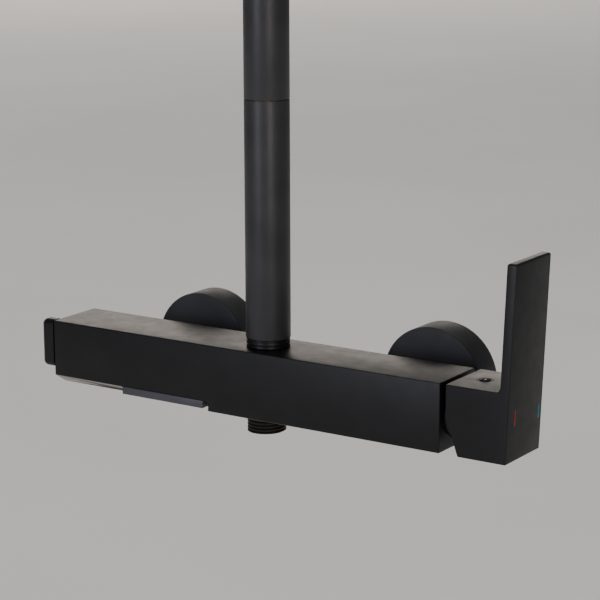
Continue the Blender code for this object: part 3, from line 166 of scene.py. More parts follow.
# One tooth: how far out each point lies, 0 at the root and 1 at the crest, and its share of
# the pitch
TOOTH = ((0, 0), (1, 0.3), (1, 0.5), (0, 0.8), (0, 1))
OUTLET_BORE = 6.5 * MM
OUTLET_LAND = 0.9 * MM          # plain ring between the bar and the thread
THREAD_RELIEF = 0.6 * MM        # undercut where the threading tool runs out
UNDERCUT = 0.1 * MM             # undercut's floor below the thread's root

# Camera
CAMERA_AZIMUTH = math.radians(33.53)    # to the right of straight on
CAMERA_ELEVATION = math.radians(12.97)
CAMERA_ROLL = math.radians(-0.2)
CAMERA_DISTANCE = 1.1422
CAMERA_TARGET = Vector((0.01805, -0.058, 0.04544))
CAMERA_LENS = 130.8
CAMERA_SENSOR = 36.0

# Studio
FLOOR_DROP = 0.16               # below the lowest point of the bar, which hangs on a wall
FLOOR_SIZE = 30.0
FLOOR_CLOUD = 0.4               # size of the paper's faint clouding
FLOOR_ROUGHNESS = 0.9
AIR_COLOUR = "#dcdfe6"
AIR_STRENGTH = 0.25
WASH_SIZE = (16.0, 16.0)        # light that hangs just under the bar and faces the floor
WASH_DROP = 0.01
WASH_POWER = 125
# Name, azimuth and elevation in degrees, distance, width and height, watts, colour
LIGHTS = (
    ("Overhead softbox", 190, 66, 1.6, (1.6, 0.8), 6, "#fff6ea"),
    ("Back softbox", 225, 14, 5.5, (5.0, 1.9), 66, "#fff4e6"),
    ("Front left strip", -12, 6, 4.0, (1.33, 2.6), 86, "#eef0ff"),
    ("Front right strip", 50, 6, 4.0, (0.93, 2.6), 82, "#fff8f0"),
)

TURNS = {"Z": (0, 0, 0), "-Z": (math.pi, 0, 0), "Y": (-math.pi / 2, 0, 0),
         "X": (0, math.pi / 2, 0), "-X": (0, -math.pi / 2, 0)}


# Modelling tools

def fresh(add, name, **settings):
    """Add a primitive with nothing else selected."""
    bpy.ops.object.select_all(action="DESELECT")
    add(**settings)
    obj = bpy.context.object
    obj.name = name
    return obj


def settle(obj):
    """Put the object's place, turn and size into its mesh."""
    bpy.ops.object.select_all(action="DESELECT")
    obj.select_set(True)
    bpy.context.view_layer.objects.active = obj
    bpy.ops.object.transform_apply(location=True, rotation=True, scale=True)
    return obj


def block(name, low, high):
    """A box between its lowest and its highest corner."""
    low, high = Vector(low), Vector(high)
    obj = fresh(bpy.ops.mesh.primitive_cube_add, name, size=1, location=(low + high) / 2,
                scale=high - low)
    return settle(obj)


def edit(obj, work):
    """Do some work on the object in edit mode, then make its faces point outwards."""
    bpy.ops.object.select_all(action="DESELECT")
    obj.select_set(True)
    bpy.context.view_layer.objects.active = obj
    bpy.ops.object.mode_set(mode="EDIT")
    work(obj)
    bpy.ops.mesh.select_all(action="SELECT")
    bpy.ops.mesh.normals_make_consistent(inside=False)
    bpy.ops.object.mode_set(mode="OBJECT")
    return obj


def pick(obj, mode, test):
    """In edit mode, select the parts of one mode whose corners all pass the test."""
    bpy.ops.mesh.select_mode(type=mode)
    bpy.ops.mesh.select_all(action="DESELECT")
    mesh = bmesh.from_edit_mesh(obj.data)
    parts = {"VERT": mesh.verts, "EDGE": mesh.edges, "FACE": mesh.faces}[mode]
    for part in parts:
        corners = [part.co] if mode == "VERT" else [vert.co for vert in part.verts]
        if all(test(corner) for corner in corners):
            part.select_set(True)
    bmesh.update_edit_mesh(obj.data)


def slice_at(point, normal, clear=False):
    """In edit mode, cut along a plane, and take away what lies on its normal's side."""
    bpy.ops.mesh.select_all(action="SELECT")
    bpy.ops.mesh.bisect(plane_co=point, plane_no=normal, clear_outer=clear, use_fill=clear,
                        threshold=0.001 * MM)


def lathe(name, outline, place, axis, sides=SIDES, hollow=True):
    """Turn an outline of (radius, height) points: a ring that is extruded and scaled again."""
    radius, height = outline[0]
    obj = fresh(bpy.ops.mesh.primitive_circle_add, name, vertices=sides, radius=radius,
                location=(0, 0, height))

    def work(_):
        bpy.ops.mesh.select_all(action="SELECT")
        for (r0, h0), (r1, h1) in zip(outline, outline[1:]):
            bpy.ops.mesh.extrude_edges_move(TRANSFORM_OT_translate={"value": (0, 0, h1 - h0)})
            bpy.ops.transform.resize(value=(r1 / r0, r1 / r0, 1))
        bpy.ops.mesh.select_mode(type="EDGE")
        bpy.ops.mesh.select_all(action="DESELECT")
        bpy.ops.mesh.select_non_manifold()
        if hollow:
            bpy.ops.mesh.bridge_edge_loops()
        else:
            bpy.ops.mesh.fill_holes(sides=sides)

    settle(obj)
    edit(obj, work)
    obj.rotation_euler = TURNS[axis]
    obj.location = place
    return settle(obj)


def rod(name, radius, length, place, axis, sides=SIDES):
    """A plain cylinder that starts at its place and runs along the axis."""
    return lathe(name, [(radius, 0), (radius, length)], place, axis, sides, hollow=False)


def apply_modifier(obj, modifier):
    bpy.context.view_layer.objects.active = obj
    bpy.ops.object.modifier_apply(modifier=modifier.name)


def soften(obj, width, segments=3, angle=math.radians(30)):
    """Round every edge that is sharper than the angle."""
    bevel = obj.modifiers.new("Rounded edges", "BEVEL")
    bevel.width = width
    bevel.segments = segments
    bevel.limit_method = "ANGLE"
    bevel.angle_limit = angle
    apply_modifier(obj, bevel)
    return obj


def combine(obj, other, operation="DIFFERENCE"):
    """Cut the other shape out of the object, or add it, and remove the other."""
    boolean = obj.modifiers.new("Combine", "BOOLEAN")
    boolean.operation = operation
    boolean.object = other
    apply_modifier(obj, boolean)
    bpy.data.objects.remove(other, do_unlink=True)
    return obj


def cut_hole(obj, radius, start, length, axis, sides=SIDES):
    """Drill a round hole that starts at a point and runs along the axis."""
    combine(obj, rod("cutter", radius, length, start, axis, sides))


def cut_room(obj, node, gap=GAP):
    """Cut a square room that clears a node of the frame all round."""
    low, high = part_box(node)
    grow = Vector((gap, gap, gap))
    combine(obj, block("cutter", low - grow, high + grow))


def thread(name, radius, length, place, axis):
    """A threaded rod: one tooth screwed round the axis, with both ends cut square."""
    root = radius - THREAD_DEPTH
    points = [Vector((root + out * THREAD_DEPTH, 0, share * THREAD_PITCH))
              for out, share in TOOTH]
    obj = fresh(bpy.ops.mesh.primitive_plane_add, name, size=MM)

    def draw(_):
        bpy.ops.mesh.select_mode(type="VERT")
        bpy.ops.mesh.select_all(action="SELECT")
        bpy.ops.mesh.merge(type="CENTER")
        bpy.ops.transform.translate(value=points[0])
        for one, two in zip(points, points[1:]):
            bpy.ops.mesh.extrude_vertices_move(TRANSFORM_OT_translate={"value": two - one})

    edit(obj, draw)
    turns = math.ceil(length / THREAD_PITCH) + 2
    screw = obj.modifiers.new("Thread", "SCREW")
    screw.angle = 2 * math.pi
    screw.screw_offset = THREAD_PITCH
    screw.iterations = turns
    screw.steps = SIDES
    screw.render_steps = SIDES
    screw.use_merge_vertices = True
    screw.merge_threshold = MERGE
    apply_modifier(obj, screw)

    def square_ends(_):
        bpy.ops.mesh.select_all(action="SELECT")
        bpy.ops.mesh.remove_doubles(threshold=MERGE / 2)
        slice_at((0, 0, THREAD_PITCH), (0, 0, -1), clear=True)
        slice_at((0, 0, THREAD_PITCH + length), (0, 0, 1), clear=True)
        bpy.ops.mesh.select_all(action="SELECT")
        bpy.ops.transform.translate(value=(0, 0, -THREAD_PITCH))

    edit(obj, square_ends)
    obj.rotation_euler = TURNS[axis]
    obj.location = place
    return settle(obj)


def hand_over(obj, body, slot, finish, *nodes):
    """Shade a finished piece, give it its finish if it has none, tie it to its body and hide the
    nodes it stands for. The slot is not used.
    """
    bpy.ops.object.select_all(action="DESELECT")
    obj.select_set(True)
    bpy.context.view_layer.objects.active = obj
    bpy.ops.object.shade_smooth_by_angle(angle=SMOOTH_ANGLE)
    if not obj.data.materials:
        obj.data.materials.append(finish)
    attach(obj, body)
    if nodes:
        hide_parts(*nodes)
    return obj


def middle(node):
    """The centre of a node's box."""
    low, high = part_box(node)
    return (low + high) / 2


def radius_of(node, across="y"):
    """Half of a round node's size across one of its square axes."""
    low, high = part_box(node)
    return (getattr(high, across) - getattr(low, across)) / 2


# Materials

def linear(code):
    """A #rrggbb colour as linear RGBA."""
    channels = [int(code[i:i + 2], 16) / 255 for i in (1, 3, 5)]
    return [c / 12.92 if c <= 0.04045 else ((c + 0.055) / 1.055) ** 2.4 for c in channels] + [1]


def add_node(tree, kind, settings=None, links=None):
    """Add a shader node, set its values and properties, and link its inputs."""
    made = tree.nodes.new("ShaderNode" + kind)
    for key, value in (settings or {}).items():
        if isinstance(key, int) or key in made.inputs:
            made.inputs[key].default_value = value
        else:
            setattr(made, key, value)
    for key, source in (links or {}).items():
        tree.links.new(source, made.inputs[key])
    return made


def begin_material(name, **sockets):
    """A material with its shader's uniform values set on the shader's own sockets."""
    material = bpy.data.materials.new(name)
    material.use_nodes = True
    tree = material.node_tree
    shader = tree.nodes["Principled BSDF"]
    for key, value in sockets.items():
        shader.inputs[key.replace("_", " ").title().replace("Ior", "IOR")].default_value = value
    place = add_node(tree, "TexCoord").outputs["Object"]
    return material, tree, shader, place


def speckle(tree, place, size, low, high, detail=3.0):
    """Noise with grains of a real size, spread between two numbers.

    The noise seldom leaves the range from 0.3 to 0.7, so that is what is spread.
    """
    noise = add_node(tree, "TexNoise", {"Scale": 1 / size, "Detail": detail}, {"Vector": place})
    return add_node(tree, "MapRange", {"From Min": 0.3, "From Max": 0.7, "To Min": low,
                                       "To Max": high}, {"Value": noise.outputs["Fac"]})


def two_tone(tree, shader, factor, dark, light):
    """Blend the base colour between a darker and a lighter tone."""
    mix = add_node(tree, "Mix", {"data_type": "RGBA", 6: linear(dark), 7: linear(light)},
                   {0: factor})
    tree.links.new(mix.outputs[2], shader.inputs["Base Color"])


def relief(tree, shader, height, depth):
    """Raise the surface by a real depth, as seen in its gloss."""
    bump = add_node(tree, "Bump", {"Strength": 1.0, "Distance": depth}, {"Height": height})
    tree.links.new(bump.outputs["Normal"], shader.inputs["Normal"])


def satin_black_coat(name, grain, dark, light, rough_low, rough_high):
    """Brass, ground and given a satin black electrostatic coat.

    The coat lies like very fine orange peel, so its sheen is soft and a little uneven.
    The real peel of 0.25 mm is drawn coarser, so that it shows from a metre away.
    """
    material, tree, shader, place = begin_material(name, metallic=0.0, ior=1.5,
                                                   specular_ior_level=0.27)
    patch = speckle(tree, place, 18 * MM, 0.0, 1.0, 2.0)
    two_tone(tree, shader, patch.outputs["Result"], dark, light)
    rough = speckle(tree, place, 7 * MM, rough_low, rough_high)
    tree.links.new(rough.outputs["Result"], shader.inputs["Roughness"])
    peel = speckle(tree, place, grain, 0.0, 1.0, 4.0)
    relief(tree, shader, peel.outputs["Result"], 0.006 * MM)
    return material


def turned_metal(name, axis, feed, dark, light, rough_low, rough_high):
    """Bare metal off the lathe: fine rings across its axis, one for each turn of the feed."""
    material, tree, shader, place = begin_material(name, metallic=1.0)
    patch = speckle(tree, place, 4 * MM, 0.0, 1.0)
    two_tone(tree, shader, patch.outputs["Result"], dark, light)
    rings = add_node(tree, "TexWave", {"wave_type": "BANDS", "bands_direction": axis,
                                       "Scale": math.pi / (10 * feed), "Distortion": 0.4,
                                       "Detail": 2.0, "Detail Scale": 1.0},
                     {"Vector": place})
    rough = add_node(tree, "MapRange", {"To Min": rough_low, "To Max": rough_high},
                     {"Value": rings.outputs["Fac"]})
    tree.links.new(rough.outputs["Result"], shader.inputs["Roughness"])
    relief(tree, shader, rings.outputs["Fac"], 0.01 * MM)
    return material


def moulded(name, dark, light, rough_low, rough_high, grain, depth, **sockets):
    """A moulded or pressed part: an even colour with the faint grain of its mould."""
    material, tree, shader, place = begin_material(name, metallic=0.0, **sockets)
    patch = speckle(tree, place, 9 * MM, 0.0, 1.0, 2.0)
    two_tone(tree, shader, patch.outputs["Result"], dark, light)
    rough = speckle(tree, place, 3 * MM, rough_low, rough_high)
    tree.links.new(rough.outputs["Result"], shader.inputs["Roughness"])
    skin = speckle(tree, place, grain, 0.0, 1.0)
    relief(tree, shader, skin.outputs["Result"], depth)
    return material


def make_finishes():
    """Every finish of the mixer, by the name that its pieces ask for."""
    return {
        # Flat ground faces, coated: the darkest and smoothest black
        "flat_black": satin_black_coat("Satin black coat on ground brass", 0.9 * MM,
                                       "#09090b", "#0f0f11", 0.36, 0.44),
        # Drawn tube, coated: the same black with a slightly smoother sheen, its base colour
        # lifted well above the bar's as painted fill light
        "tube_black_painted_fill": satin_black_coat("Satin black coat on drawn tube", 0.7 * MM,
                                       "#2a292b", "#323133", 0.40, 0.46),
        # Pressed cover, coated: a drier, more matt black. Its base colour is lifted well above
        # the bar's black as painted fill light, for the front light that the bar keeps off the
        # covers
        "cover_black_painted_fill": satin_black_coat("Satin black coat on pressed cover", 0.8 * MM,
                                        "#2b2b2e", "#343437", 0.50, 0.58),
        # Turned threads, coated thinly
        "thread_black": satin_black_coat("Thin black coat on turned thread", 0.5 * MM,
                                         "#100f0e", "#1f1b18", 0.34, 0.46),
        "brass": {axis: turned_metal(f"Turned brass along {axis}", axis, 0.25 * MM,
                                     "#b8935a", "#d2b071", 0.24, 0.40) for axis in "XYZ"},
        # The cascade's slope isn't coated: it is fine-ground, and pale beside the black
        "bare_slope": turned_metal("Fine-ground bare slope", "Y", 0.2 * MM, "#8f8983", "#a29c96",
                                   0.30, 0.42),
        "steel": {axis: turned_metal(f"Turned stainless steel along {axis}", axis, 0.2 * MM,
                                     "#a4a5a8", "#bfc0c3", 0.22, 0.36) for axis in "XYZ"},
        "ceramic": moulded("Lapped alumina", "#e2ded4", "#eeebe3", 0.16, 0.24, 0.2 * MM,
                           0.001 * MM, ior=1.77),
        "white_plastic": moulded("Moulded white acetal", "#d6d6d2", "#e2e2de", 0.38, 0.48,
                                 0.5 * MM, 0.004 * MM, ior=1.48),
        "grey_plastic": moulded("Moulded grey nozzle plastic", "#333339", "#3d3d44", 0.34,
                                0.42, 0.5 * MM, 0.004 * MM, ior=1.49),
        "rubber": moulded("Moulded nitrile rubber", "#1a1a1a", "#232322", 0.62, 0.74,
                          0.6 * MM, 0.01 * MM, ior=1.52),
        "plug_black": moulded("Moulded black plastic", "#060606", "#0b0b0b", 0.40, 0.48,
                              0.5 * MM, 0.002 * MM, ior=1.49, specular_ior_level=0.2),
        "red": moulded("Red enamel", "#a11b22", "#bb2630", 0.50, 0.60, 0.4 * MM,
                       0.002 * MM, ior=1.52, specular_ior_level=0.15),
        "blue": moulded("Blue enamel", "#0e7d9b", "#1594b4", 0.50, 0.60, 0.4 * MM,
                        0.002 * MM, ior=1.52, specular_ior_level=0.15),
        # The cold half of the indicator is a deep blue that reads as black from most sides
        "deep_blue": moulded("Deep blue enamel", "#0a1524", "#10203a", 0.46, 0.56, 0.4 * MM,
                             0.002 * MM, ior=1.52, specular_ior_level=0.15),
        # White paint for the dot that is a painted highlight on the indicator's crown
        "white": moulded("White paint for a painted highlight", "#dcdcda", "#efefec", 0.24, 0.34, 0.4 * MM,
                         0.002 * MM, ior=1.52),
    }


def long_axis(node):
    """The axis that a turned node lies along: its ends are the faces that are not square."""
    low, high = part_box(node)
    size = high - low
    pairs = {"X": abs(size.y - size.z), "Y": abs(size.x - size.z), "Z": abs(size.x - size.y)}
    return min(pairs, key=pairs.get)


def finish_frame_nodes(finishes):
    """Every node of the frame gets the finish of its slot."""
    for part in frame["record"]["subparts"]:
        slot = part["material_slot"]
        if slot == "matte_black":
            finish = finishes["flat_black"]
        elif slot in ("brass", "steel"):
            finish = finishes[slot][long_axis(part["node"])]
        elif slot == "indicator":
            finish = finishes["red"]
        else:
            finish = finishes[slot]
        paint(part["node"], finish)
    # The diverter's nut shows round the knob's hub, so it is blackened like the bar
    paint("diverter_nut", finishes["thread_black"])


def paint(node, finish):
    for material_slot in frame["nodes"][node].material_slots:
        material_slot.material = finish


# Pieces

def make_bar(finishes):
    """The bar: a ground block with the cascade's slope, its pocket and its bores."""
    low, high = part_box("body_casting")
    nozzle_low, nozzle_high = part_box("cascade_nozzle")
    bar = block("bar", low, high)

    # Slope and pocket of the cascade
    slope_top = Vector((0, low.y, nozzle_high.z))
    slope = Vector((0, CHAMFER_DEPTH, low.z - nozzle_high.z))
    wedge = block("cutter", low - Vector((OVER, OVER, OVER)),
                  (nozzle_high.x + CHAMFER_PAST_NOZZLE, low.y + 2 * CHAMFER_DEPTH,
                   nozzle_high.z + OVER))
    edit(wedge, lambda _: slice_at(slope_top, (0, -slope.z, slope.y), clear=True))
    soften(bar, EDGE, 4)
    combine(bar, wedge)
    combine(bar, block("cutter", nozzle_low - Vector((GAP, OVER, OVER)),
                       nozzle_high + Vector((GAP, GAP, GAP))))
    soften(bar, BURR_EDGE, 2)
    cut_room(bar, "nozzle_gasket")
    cut_room(bar, "cascade_strainer")
    for screw in ("nozzle_screw_1", "nozzle_screw_2"):
        seat = middle(screw)
        cut_hole(bar, NOZZLE_SCREW_RADIUS + GAP, (seat.x, seat.y, nozzle_high.z - OVER),
                 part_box(screw)[1].z + GAP - nozzle_high.z + OVER, "Z", SMALL_SIDES)

    # Bores from both ends, and the ports above, below and behind
    cartridge = middle("cartridge_housing")
    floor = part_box("cartridge_base_seal")[0].x - GAP
    cut_hole(bar, radius_of("cartridge_housing") + GAP, (floor, cartridge.y, cartridge.z),
             high.x - floor + OVER, "X")
    diverter = middle("diverter_housing")
    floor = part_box("diverter_housing")[1].x + GAP
    cut_hole(bar, radius_of("diverter_housing") + GAP, (floor, diverter.y, diverter.z),
             floor - low.x + OVER, "-X")
    riser = middle("riser_spigot")
    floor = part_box("riser_spigot")[0].z - GAP
    cut_hole(bar, RISER_PORT_RADIUS, (riser.x, riser.y, floor), high.z - floor + OVER, "Z")
    outlet = middle("hose_outlet_nipple")
    cut_hole(bar, OUTLET_PORT_RADIUS, (outlet.x, outlet.y, low.z - OVER),
             OUTLET_PORT_DEPTH + OVER, "Z")
    cut_hole(bar, radius_of("hose_outlet_seal") + GAP, (outlet.x, outlet.y, low.z - OVER),
             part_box("hose_outlet_seal")[1].z + GAP - low.z + OVER, "Z")
    for side in ("hot", "cold"):
        inlet = middle(side + "_inlet_nipple")
        cut_hole(bar, INLET_PORT_RADIUS, (inlet.x, high.y - INLET_PORT_DEPTH, inlet.z),
                 INLET_PORT_DEPTH + OVER, "Y")

    hand_over(bar, "mixer_body", "matte_black", finishes["flat_black"], "body_casting")
    # The slope alone stays bare
    bar.data.materials.append(finishes["bare_slope"])
    outward = Vector((0, slope.z, -slope.y)).normalized()
    for face in bar.data.polygons:
        if face.normal.dot(outward) > SLOPE_MATCH:
            face.material_index = 1


def make_nozzle(finishes):
    """The cascade's insert: a slim bar with a slotted mouth and two counterbored holes."""
    low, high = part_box("cascade_nozzle")
    nozzle = block("nozzle_insert", low, high)
    soften(nozzle, NOZZLE_EDGE, 4)
    gasket_low, gasket_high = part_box("nozzle_gasket")
    mouth_low = (gasket_low.x + NOZZLE_RIM, gasket_low.y + NOZZLE_RIM, low.z - OVER)
    mouth_high = (gasket_high.x - NOZZLE_RIM, gasket_high.y - NOZZLE_RIM, high.z + OVER)
    combine(nozzle, block("cutter", mouth_low, mouth_high))
    for screw in ("nozzle_screw_1", "nozzle_screw_2"):
        seat = middle(screw)
        cut_hole(nozzle, radius_of(screw) + GAP, (seat.x, seat.y, low.z - OVER),
                 NOZZLE_HEAD_DEPTH + OVER, "Z", SMALL_SIDES)
        cut_hole(nozzle, NOZZLE_SCREW_RADIUS + GAP, (seat.x, seat.y, low.z - OVER),
                 high.z - low.z + 2 * OVER, "Z", SMALL_SIDES)
    hand_over(nozzle, "mixer_body", "grey_plastic", finishes["grey_plastic"],
              "cascade_nozzle")


def make_handle(finishes):
    """The lever: a block whose outer part is drawn up into a plate that leans outwards."""
    low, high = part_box("lever_handle")
    bar_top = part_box("body_casting")[1].z
    lean = math.tan(LEVER_LEAN)
    foot = high.x - (high.z - low.z) * lean
    corner = foot + (bar_top - low.z) * lean - LEVER_THICKNESS / math.cos(LEVER_LEAN)
    handle = block("lever", low, (foot, high.y, bar_top))

    def draw_up_plate(obj):
        pick(obj, "VERT", lambda v: v.x > foot - OVER and v.z > bar_top - OVER)
        bpy.ops.transform.translate(value=((bar_top - low.z) * lean, 0, 0))
        slice_at((corner, 0, 0), (1, 0, 0))
        pick(obj, "FACE", lambda v: v.x > corner - GAP and v.z > bar_top - GAP)
        rise = high.z - bar_top
        bpy.ops.mesh.extrude_region_move(
            TRANSFORM_OT_translate={"value": (rise * lean, 0, rise)})
        pick(obj, "EDGE", lambda v: abs(v.x - corner) < GAP and abs(v.z - bar_top) < GAP)
        bpy.ops.mesh.bevel(offset=LEVER_FILLET, segments=10, affect="EDGES")

    def curve_inner_face(obj):
        drop = RELIEF_START - low.z
        for i in range(RELIEF_STEPS):
            slice_at((0, 0, RELIEF_START - drop * i / RELIEF_STEPS), (0, 0, 1))
        for i in range(1, RELIEF_STEPS + 1):
            height = RELIEF_START - drop * i / RELIEF_STEPS
            pick(obj, "VERT", lambda v: v.x < low.x + GAP and abs(v.z - height) < GAP)
            share = i / RELIEF_STEPS
            bulge = drop ** 2 / (2 * RELIEF_RADIUS) * share * (1 - share)
            bpy.ops.transform.translate(value=(RELIEF_DEPTH * share - bulge, 0, 0))

    def round_top(obj):
        pick(obj, "EDGE", lambda v: v.z > high.z - GAP)
        bpy.ops.mesh.bevel(offset=LEVER_TOP_ROUND, segments=6, affect="EDGES")

    edit(handle, draw_up_plate)
    edit(handle, curve_inner_face)
    edit(handle, round_top)
    soften(handle, EDGE, 4, LEVER_SOFT_ANGLE)

    # Hollow over the dome, socket for the stem, seat for the plug and hole for the screw
    pivot = middle("lever_pivot_pin")
    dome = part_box("dome_cap")[1].z + CAVITY_CLEARANCE
    ball = fresh(bpy.ops.mesh.primitive_uv_sphere_add, "cutter", segments=SIDES,
                 ring_count=SMALL_SIDES, radius=dome, location=pivot)
    combine(handle, settle(ball))
    cut_room(handle, "lever_stem", SOCKET_CLEARANCE)
    plug_low, plug_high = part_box("indicator_plug")
    plug = (plug_low + plug_high) / 2
    cut_hole(handle, radius_of("indicator_plug") + GAP / 2, (plug.x, plug.y, plug_low.z - GAP),
             plug_high.z - plug_low.z + GAP + OVER, "Z")
    cut_hole(handle, radius_of("handle_grub_screw") + GAP, (plug.x, plug.y, pivot.z),
             plug_high.z - pivot.z, "Z", SMALL_SIDES)
    hand_over(handle, "lever", "matte_black", finishes["flat_black"], "lever_handle")


def make_indicator(finishes):
    """Black plug with a sunk, crowned disc in two colours, and a white dot between them that is
    a painted highlight.
    """
    low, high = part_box("indicator_plug")
    centre = (low + high) / 2
    radius = radius_of("indicator_plug")
    inner = radius - PLUG_RING
    depth = high.z - low.z
    outline = [(radius, 0), (radius, depth), (inner, depth),
               (inner - PLUG_SLANT, depth - PLUG_STEP)]
    ring = lathe("indicator_ring", outline, (centre.x, centre.y, low.z), "Z", hollow=False)
    soften(ring, RING_EDGE, 2)
    hand_over(ring, "lever", "indicator", finishes["plug_black"], "indicator_plug")

    disc_radius = inner - PLUG_CLEARANCE
    crown = [(disc_radius, 0)]
    for i in range(CROWN_STEPS):
        angle = math.pi / 2 * i / CROWN_STEPS
        crown.append((disc_radius * math.cos(angle), PLUG_CROWN * math.sin(angle)))
    for name, finish, turn in (("hot_half", "red", math.pi), ("cold_half", "deep_blue", 0)):
        disc = lathe(name, crown, (0, 0, 0), "Z", hollow=False)
        other_half = block("cutter", (-radius, 0, -OVER), (radius, radius, OVER))
        other_half.rotation_euler = (0, 0, turn)
        combine(disc, settle(other_half))
        disc.rotation_euler = (0, 0, COLOUR_TURN)
        disc.location = (centre.x, centre.y, high.z - PLUG_STEP)
        settle(disc)
        hand_over(disc, "lever", "indicator", finishes[finish])

    # White dot: a painted highlight on the crown of the two colours
    offset = Matrix.Rotation(COLOUR_TURN, 3, "Z") @ Vector((0, -DOT_OFFSET, 0))
    dot = lathe("indicator_highlight_dot", [(DOT_RADIUS, 0), (DOT_RADIUS, PLUG_CROWN - DOT_ROUND),
                                  (DOT_RADIUS - DOT_ROUND, PLUG_CROWN)],
                (centre.x + offset.x, centre.y + offset.y, high.z - PLUG_STEP), "Z",
                SMALL_SIDES, hollow=False)
    hand_over(dot, "lever", "indicator", finishes["white"])


def make_marks(finishes):
    """Two upright lines, red for hot and blue for cold, printed on the lever's outer face."""
    low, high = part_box("lever_handle")
    lean = math.tan(LEVER_LEAN)
    axis = middle("lever_pivot_pin")
    marks = (("hot_mark", HOT_MARK, "red"), ("cold_mark", COLD_MARK, "blue"))
    for name, (y, bottom, top, width), finish in marks:
        length = top - bottom
        line = block(name, (-MARK_THICKNESS, -width / 2, -length / 2),
                     (MARK_THICKNESS, width / 2, length / 2))
        soften(line, MARK_EDGE, 2)
        height = axis.z + (bottom + top) / 2
        line.rotation_euler = (0, LEVER_LEAN, 0)
        line.location = (high.x - (high.z - height) * lean, axis.y + y, height)
        hand_over(settle(line), "lever", "indicator", finishes[finish])


def make_knob(finishes):
    """Diverter knob: an upright tab with large soft rounds, in front of a round hub."""
    low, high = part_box("diverter_knob")
    spindle = middle("diverter_spindle")
    hub_radius = high.y - spindle.y
    knob = block("knob", low, (high.x, low.y + KNOB_TAB_THICKNESS, high.z))

    def round_outer(obj):
        pick(obj, "EDGE", lambda v: v.x < low.x + GAP)
        mesh = bmesh.from_edit_mesh(obj.data)
        for edge in mesh.edges:
            start, end = edge.verts
            if abs(start.co.x - end.co.x) > GAP:
                edge.select_set(True)
        bmesh.update_edit_mesh(obj.data)
        bpy.ops.mesh.bevel(offset=KNOB_ROUND, segments=10, affect="EDGES")

    edit(knob, round_outer)
    hub = rod("hub", hub_radius, high.x - low.x - KNOB_HUB_STEP - GAP,
              (high.x - GAP, spindle.y, spindle.z), "-X")
    combine(knob, soften(hub, KNOB_HUB_EDGE, 4), "UNION")
    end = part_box("diverter_spindle")[0].x - GAP
    screw = middle("knob_grub_screw")
    cut_hole(knob, SPINDLE_RADIUS + GAP, (end, spindle.y, spindle.z), high.x - end + OVER, "X")
    cut_hole(knob, radius_of("knob_grub_screw") + GAP, (screw.x, screw.y, spindle.z),
             spindle.z - low.z + OVER, "-Z", SMALL_SIDES)
    hand_over(knob, "diverter_control", "matte_black", finishes["flat_black"],
              "diverter_knob")


def make_covers(finishes):
    """Drum-shaped wall covers: a flat face, a small rolled rim and an open back."""
    for side in ("hot", "cold"):
        low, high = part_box(side + "_escutcheon")
        centre = (low + high) / 2
        radius = radius_of(side + "_escutcheon", "x")
        depth = high.y - low.y
        hole = NIPPLE_SLEEVE + GAP
        outline = [(hole, 0), (radius, 0), (radius, depth), (radius - COVER_WALL, depth),
                   (radius - COVER_WALL, COVER_WALL), (hole, COVER_WALL)]
        cover = lathe(side + "_cover", outline, (centre.x, low.y, centre.z), "Y",
                      LARGE_SIDES)
        edit(cover, lambda obj: round_rim(obj, low.y, centre, radius))
        soften(cover, FINE_EDGE, 2, CORNERS_ONLY)
        # The covers' lighter black is painted fill light
        hand_over(cover, "mixer_body", "matte_black", finishes["cover_black_painted_fill"],
                  side + "_escutcheon")


def round_rim(obj, front, centre, radius):
    """In edit mode, round the front rim of a drum."""
    def on_rim(v):
        return v.y < front + GAP and math.hypot(v.x - centre.x, v.z - centre.z) > radius - GAP

    pick(obj, "EDGE", on_rim)
    bpy.ops.mesh.bevel(offset=COVER_EDGE, segments=6, affect="EDGES")


def make_inlets(finishes):
    """Black nipples behind the bar, and the brass wall unions that they screw up to."""
    for side in ("hot", "cold"):
        low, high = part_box(side + "_inlet_nipple")
        centre = (low + high) / 2
        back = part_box("body_casting")[1].y + GAP
        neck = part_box(side + "_escutcheon")[0].y + COVER_WALL
        flange = radius_of(side + "_inlet_nipple", "x")
        flange_start = high.y - NIPPLE_FLANGE_LENGTH
        outline = [(NIPPLE_BORE, low.y), (INLET_PORT_RADIUS - GAP, low.y),
                   (INLET_PORT_RADIUS - GAP, back), (NIPPLE_SLEEVE, back),
                   (NIPPLE_SLEEVE, neck), (NIPPLE_NECK, neck), (NIPPLE_NECK, flange_start),
                   (flange, flange_start), (flange, high.y), (NIPPLE_BORE, high.y)]
        outline = [(radius, y - low.y) for radius, y in outline]
        nipple = lathe(side + "_nipple", outline, (centre.x, low.y, centre.z), "Y")
        soften(nipple, FINE_EDGE, 2, CORNERS_ONLY)
        hand_over(nipple, "mixer_body", "matte_black", finishes["flat_black"],
                  side + "_inlet_nipple")
        make_wall_union(side, finishes)


def make_wall_union(side, finishes):
    """Eccentric union: a brass barrel, and a threaded tail that is set off below its axis."""
    node = side + "_eccentric_union"
    low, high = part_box(node)
    x = middle(node).x
    barrel = radius_of(node, "x")
    barrel_z = high.z - barrel
    tail_z = low.z + WALL_THREAD_RADIUS
    start = WALL_THREAD_START
    union = rod(side + "_union", barrel, -GAP - low.y, (x, low.y, barrel_z), "Y")
    soften(union, FINE_EDGE, 2, CORNERS_ONLY)
    tail = thread("cutter", WALL_THREAD_RADIUS, high.y - start, (x, start, tail_z), "Y")
    combine(union, tail, "UNION")
    half = (low.y + start) / 2
    cut_hole(union, UNION_BORE, (x, low.y - OVER, barrel_z), half - low.y + 2 * OVER, "Y")
    cut_hole(union, WALL_BORE, (x, half - OVER, tail_z), high.y - half + 2 * OVER, "Y")
    hand_over(union, "mixer_body", "brass", finishes["brass"]["Y"], node)


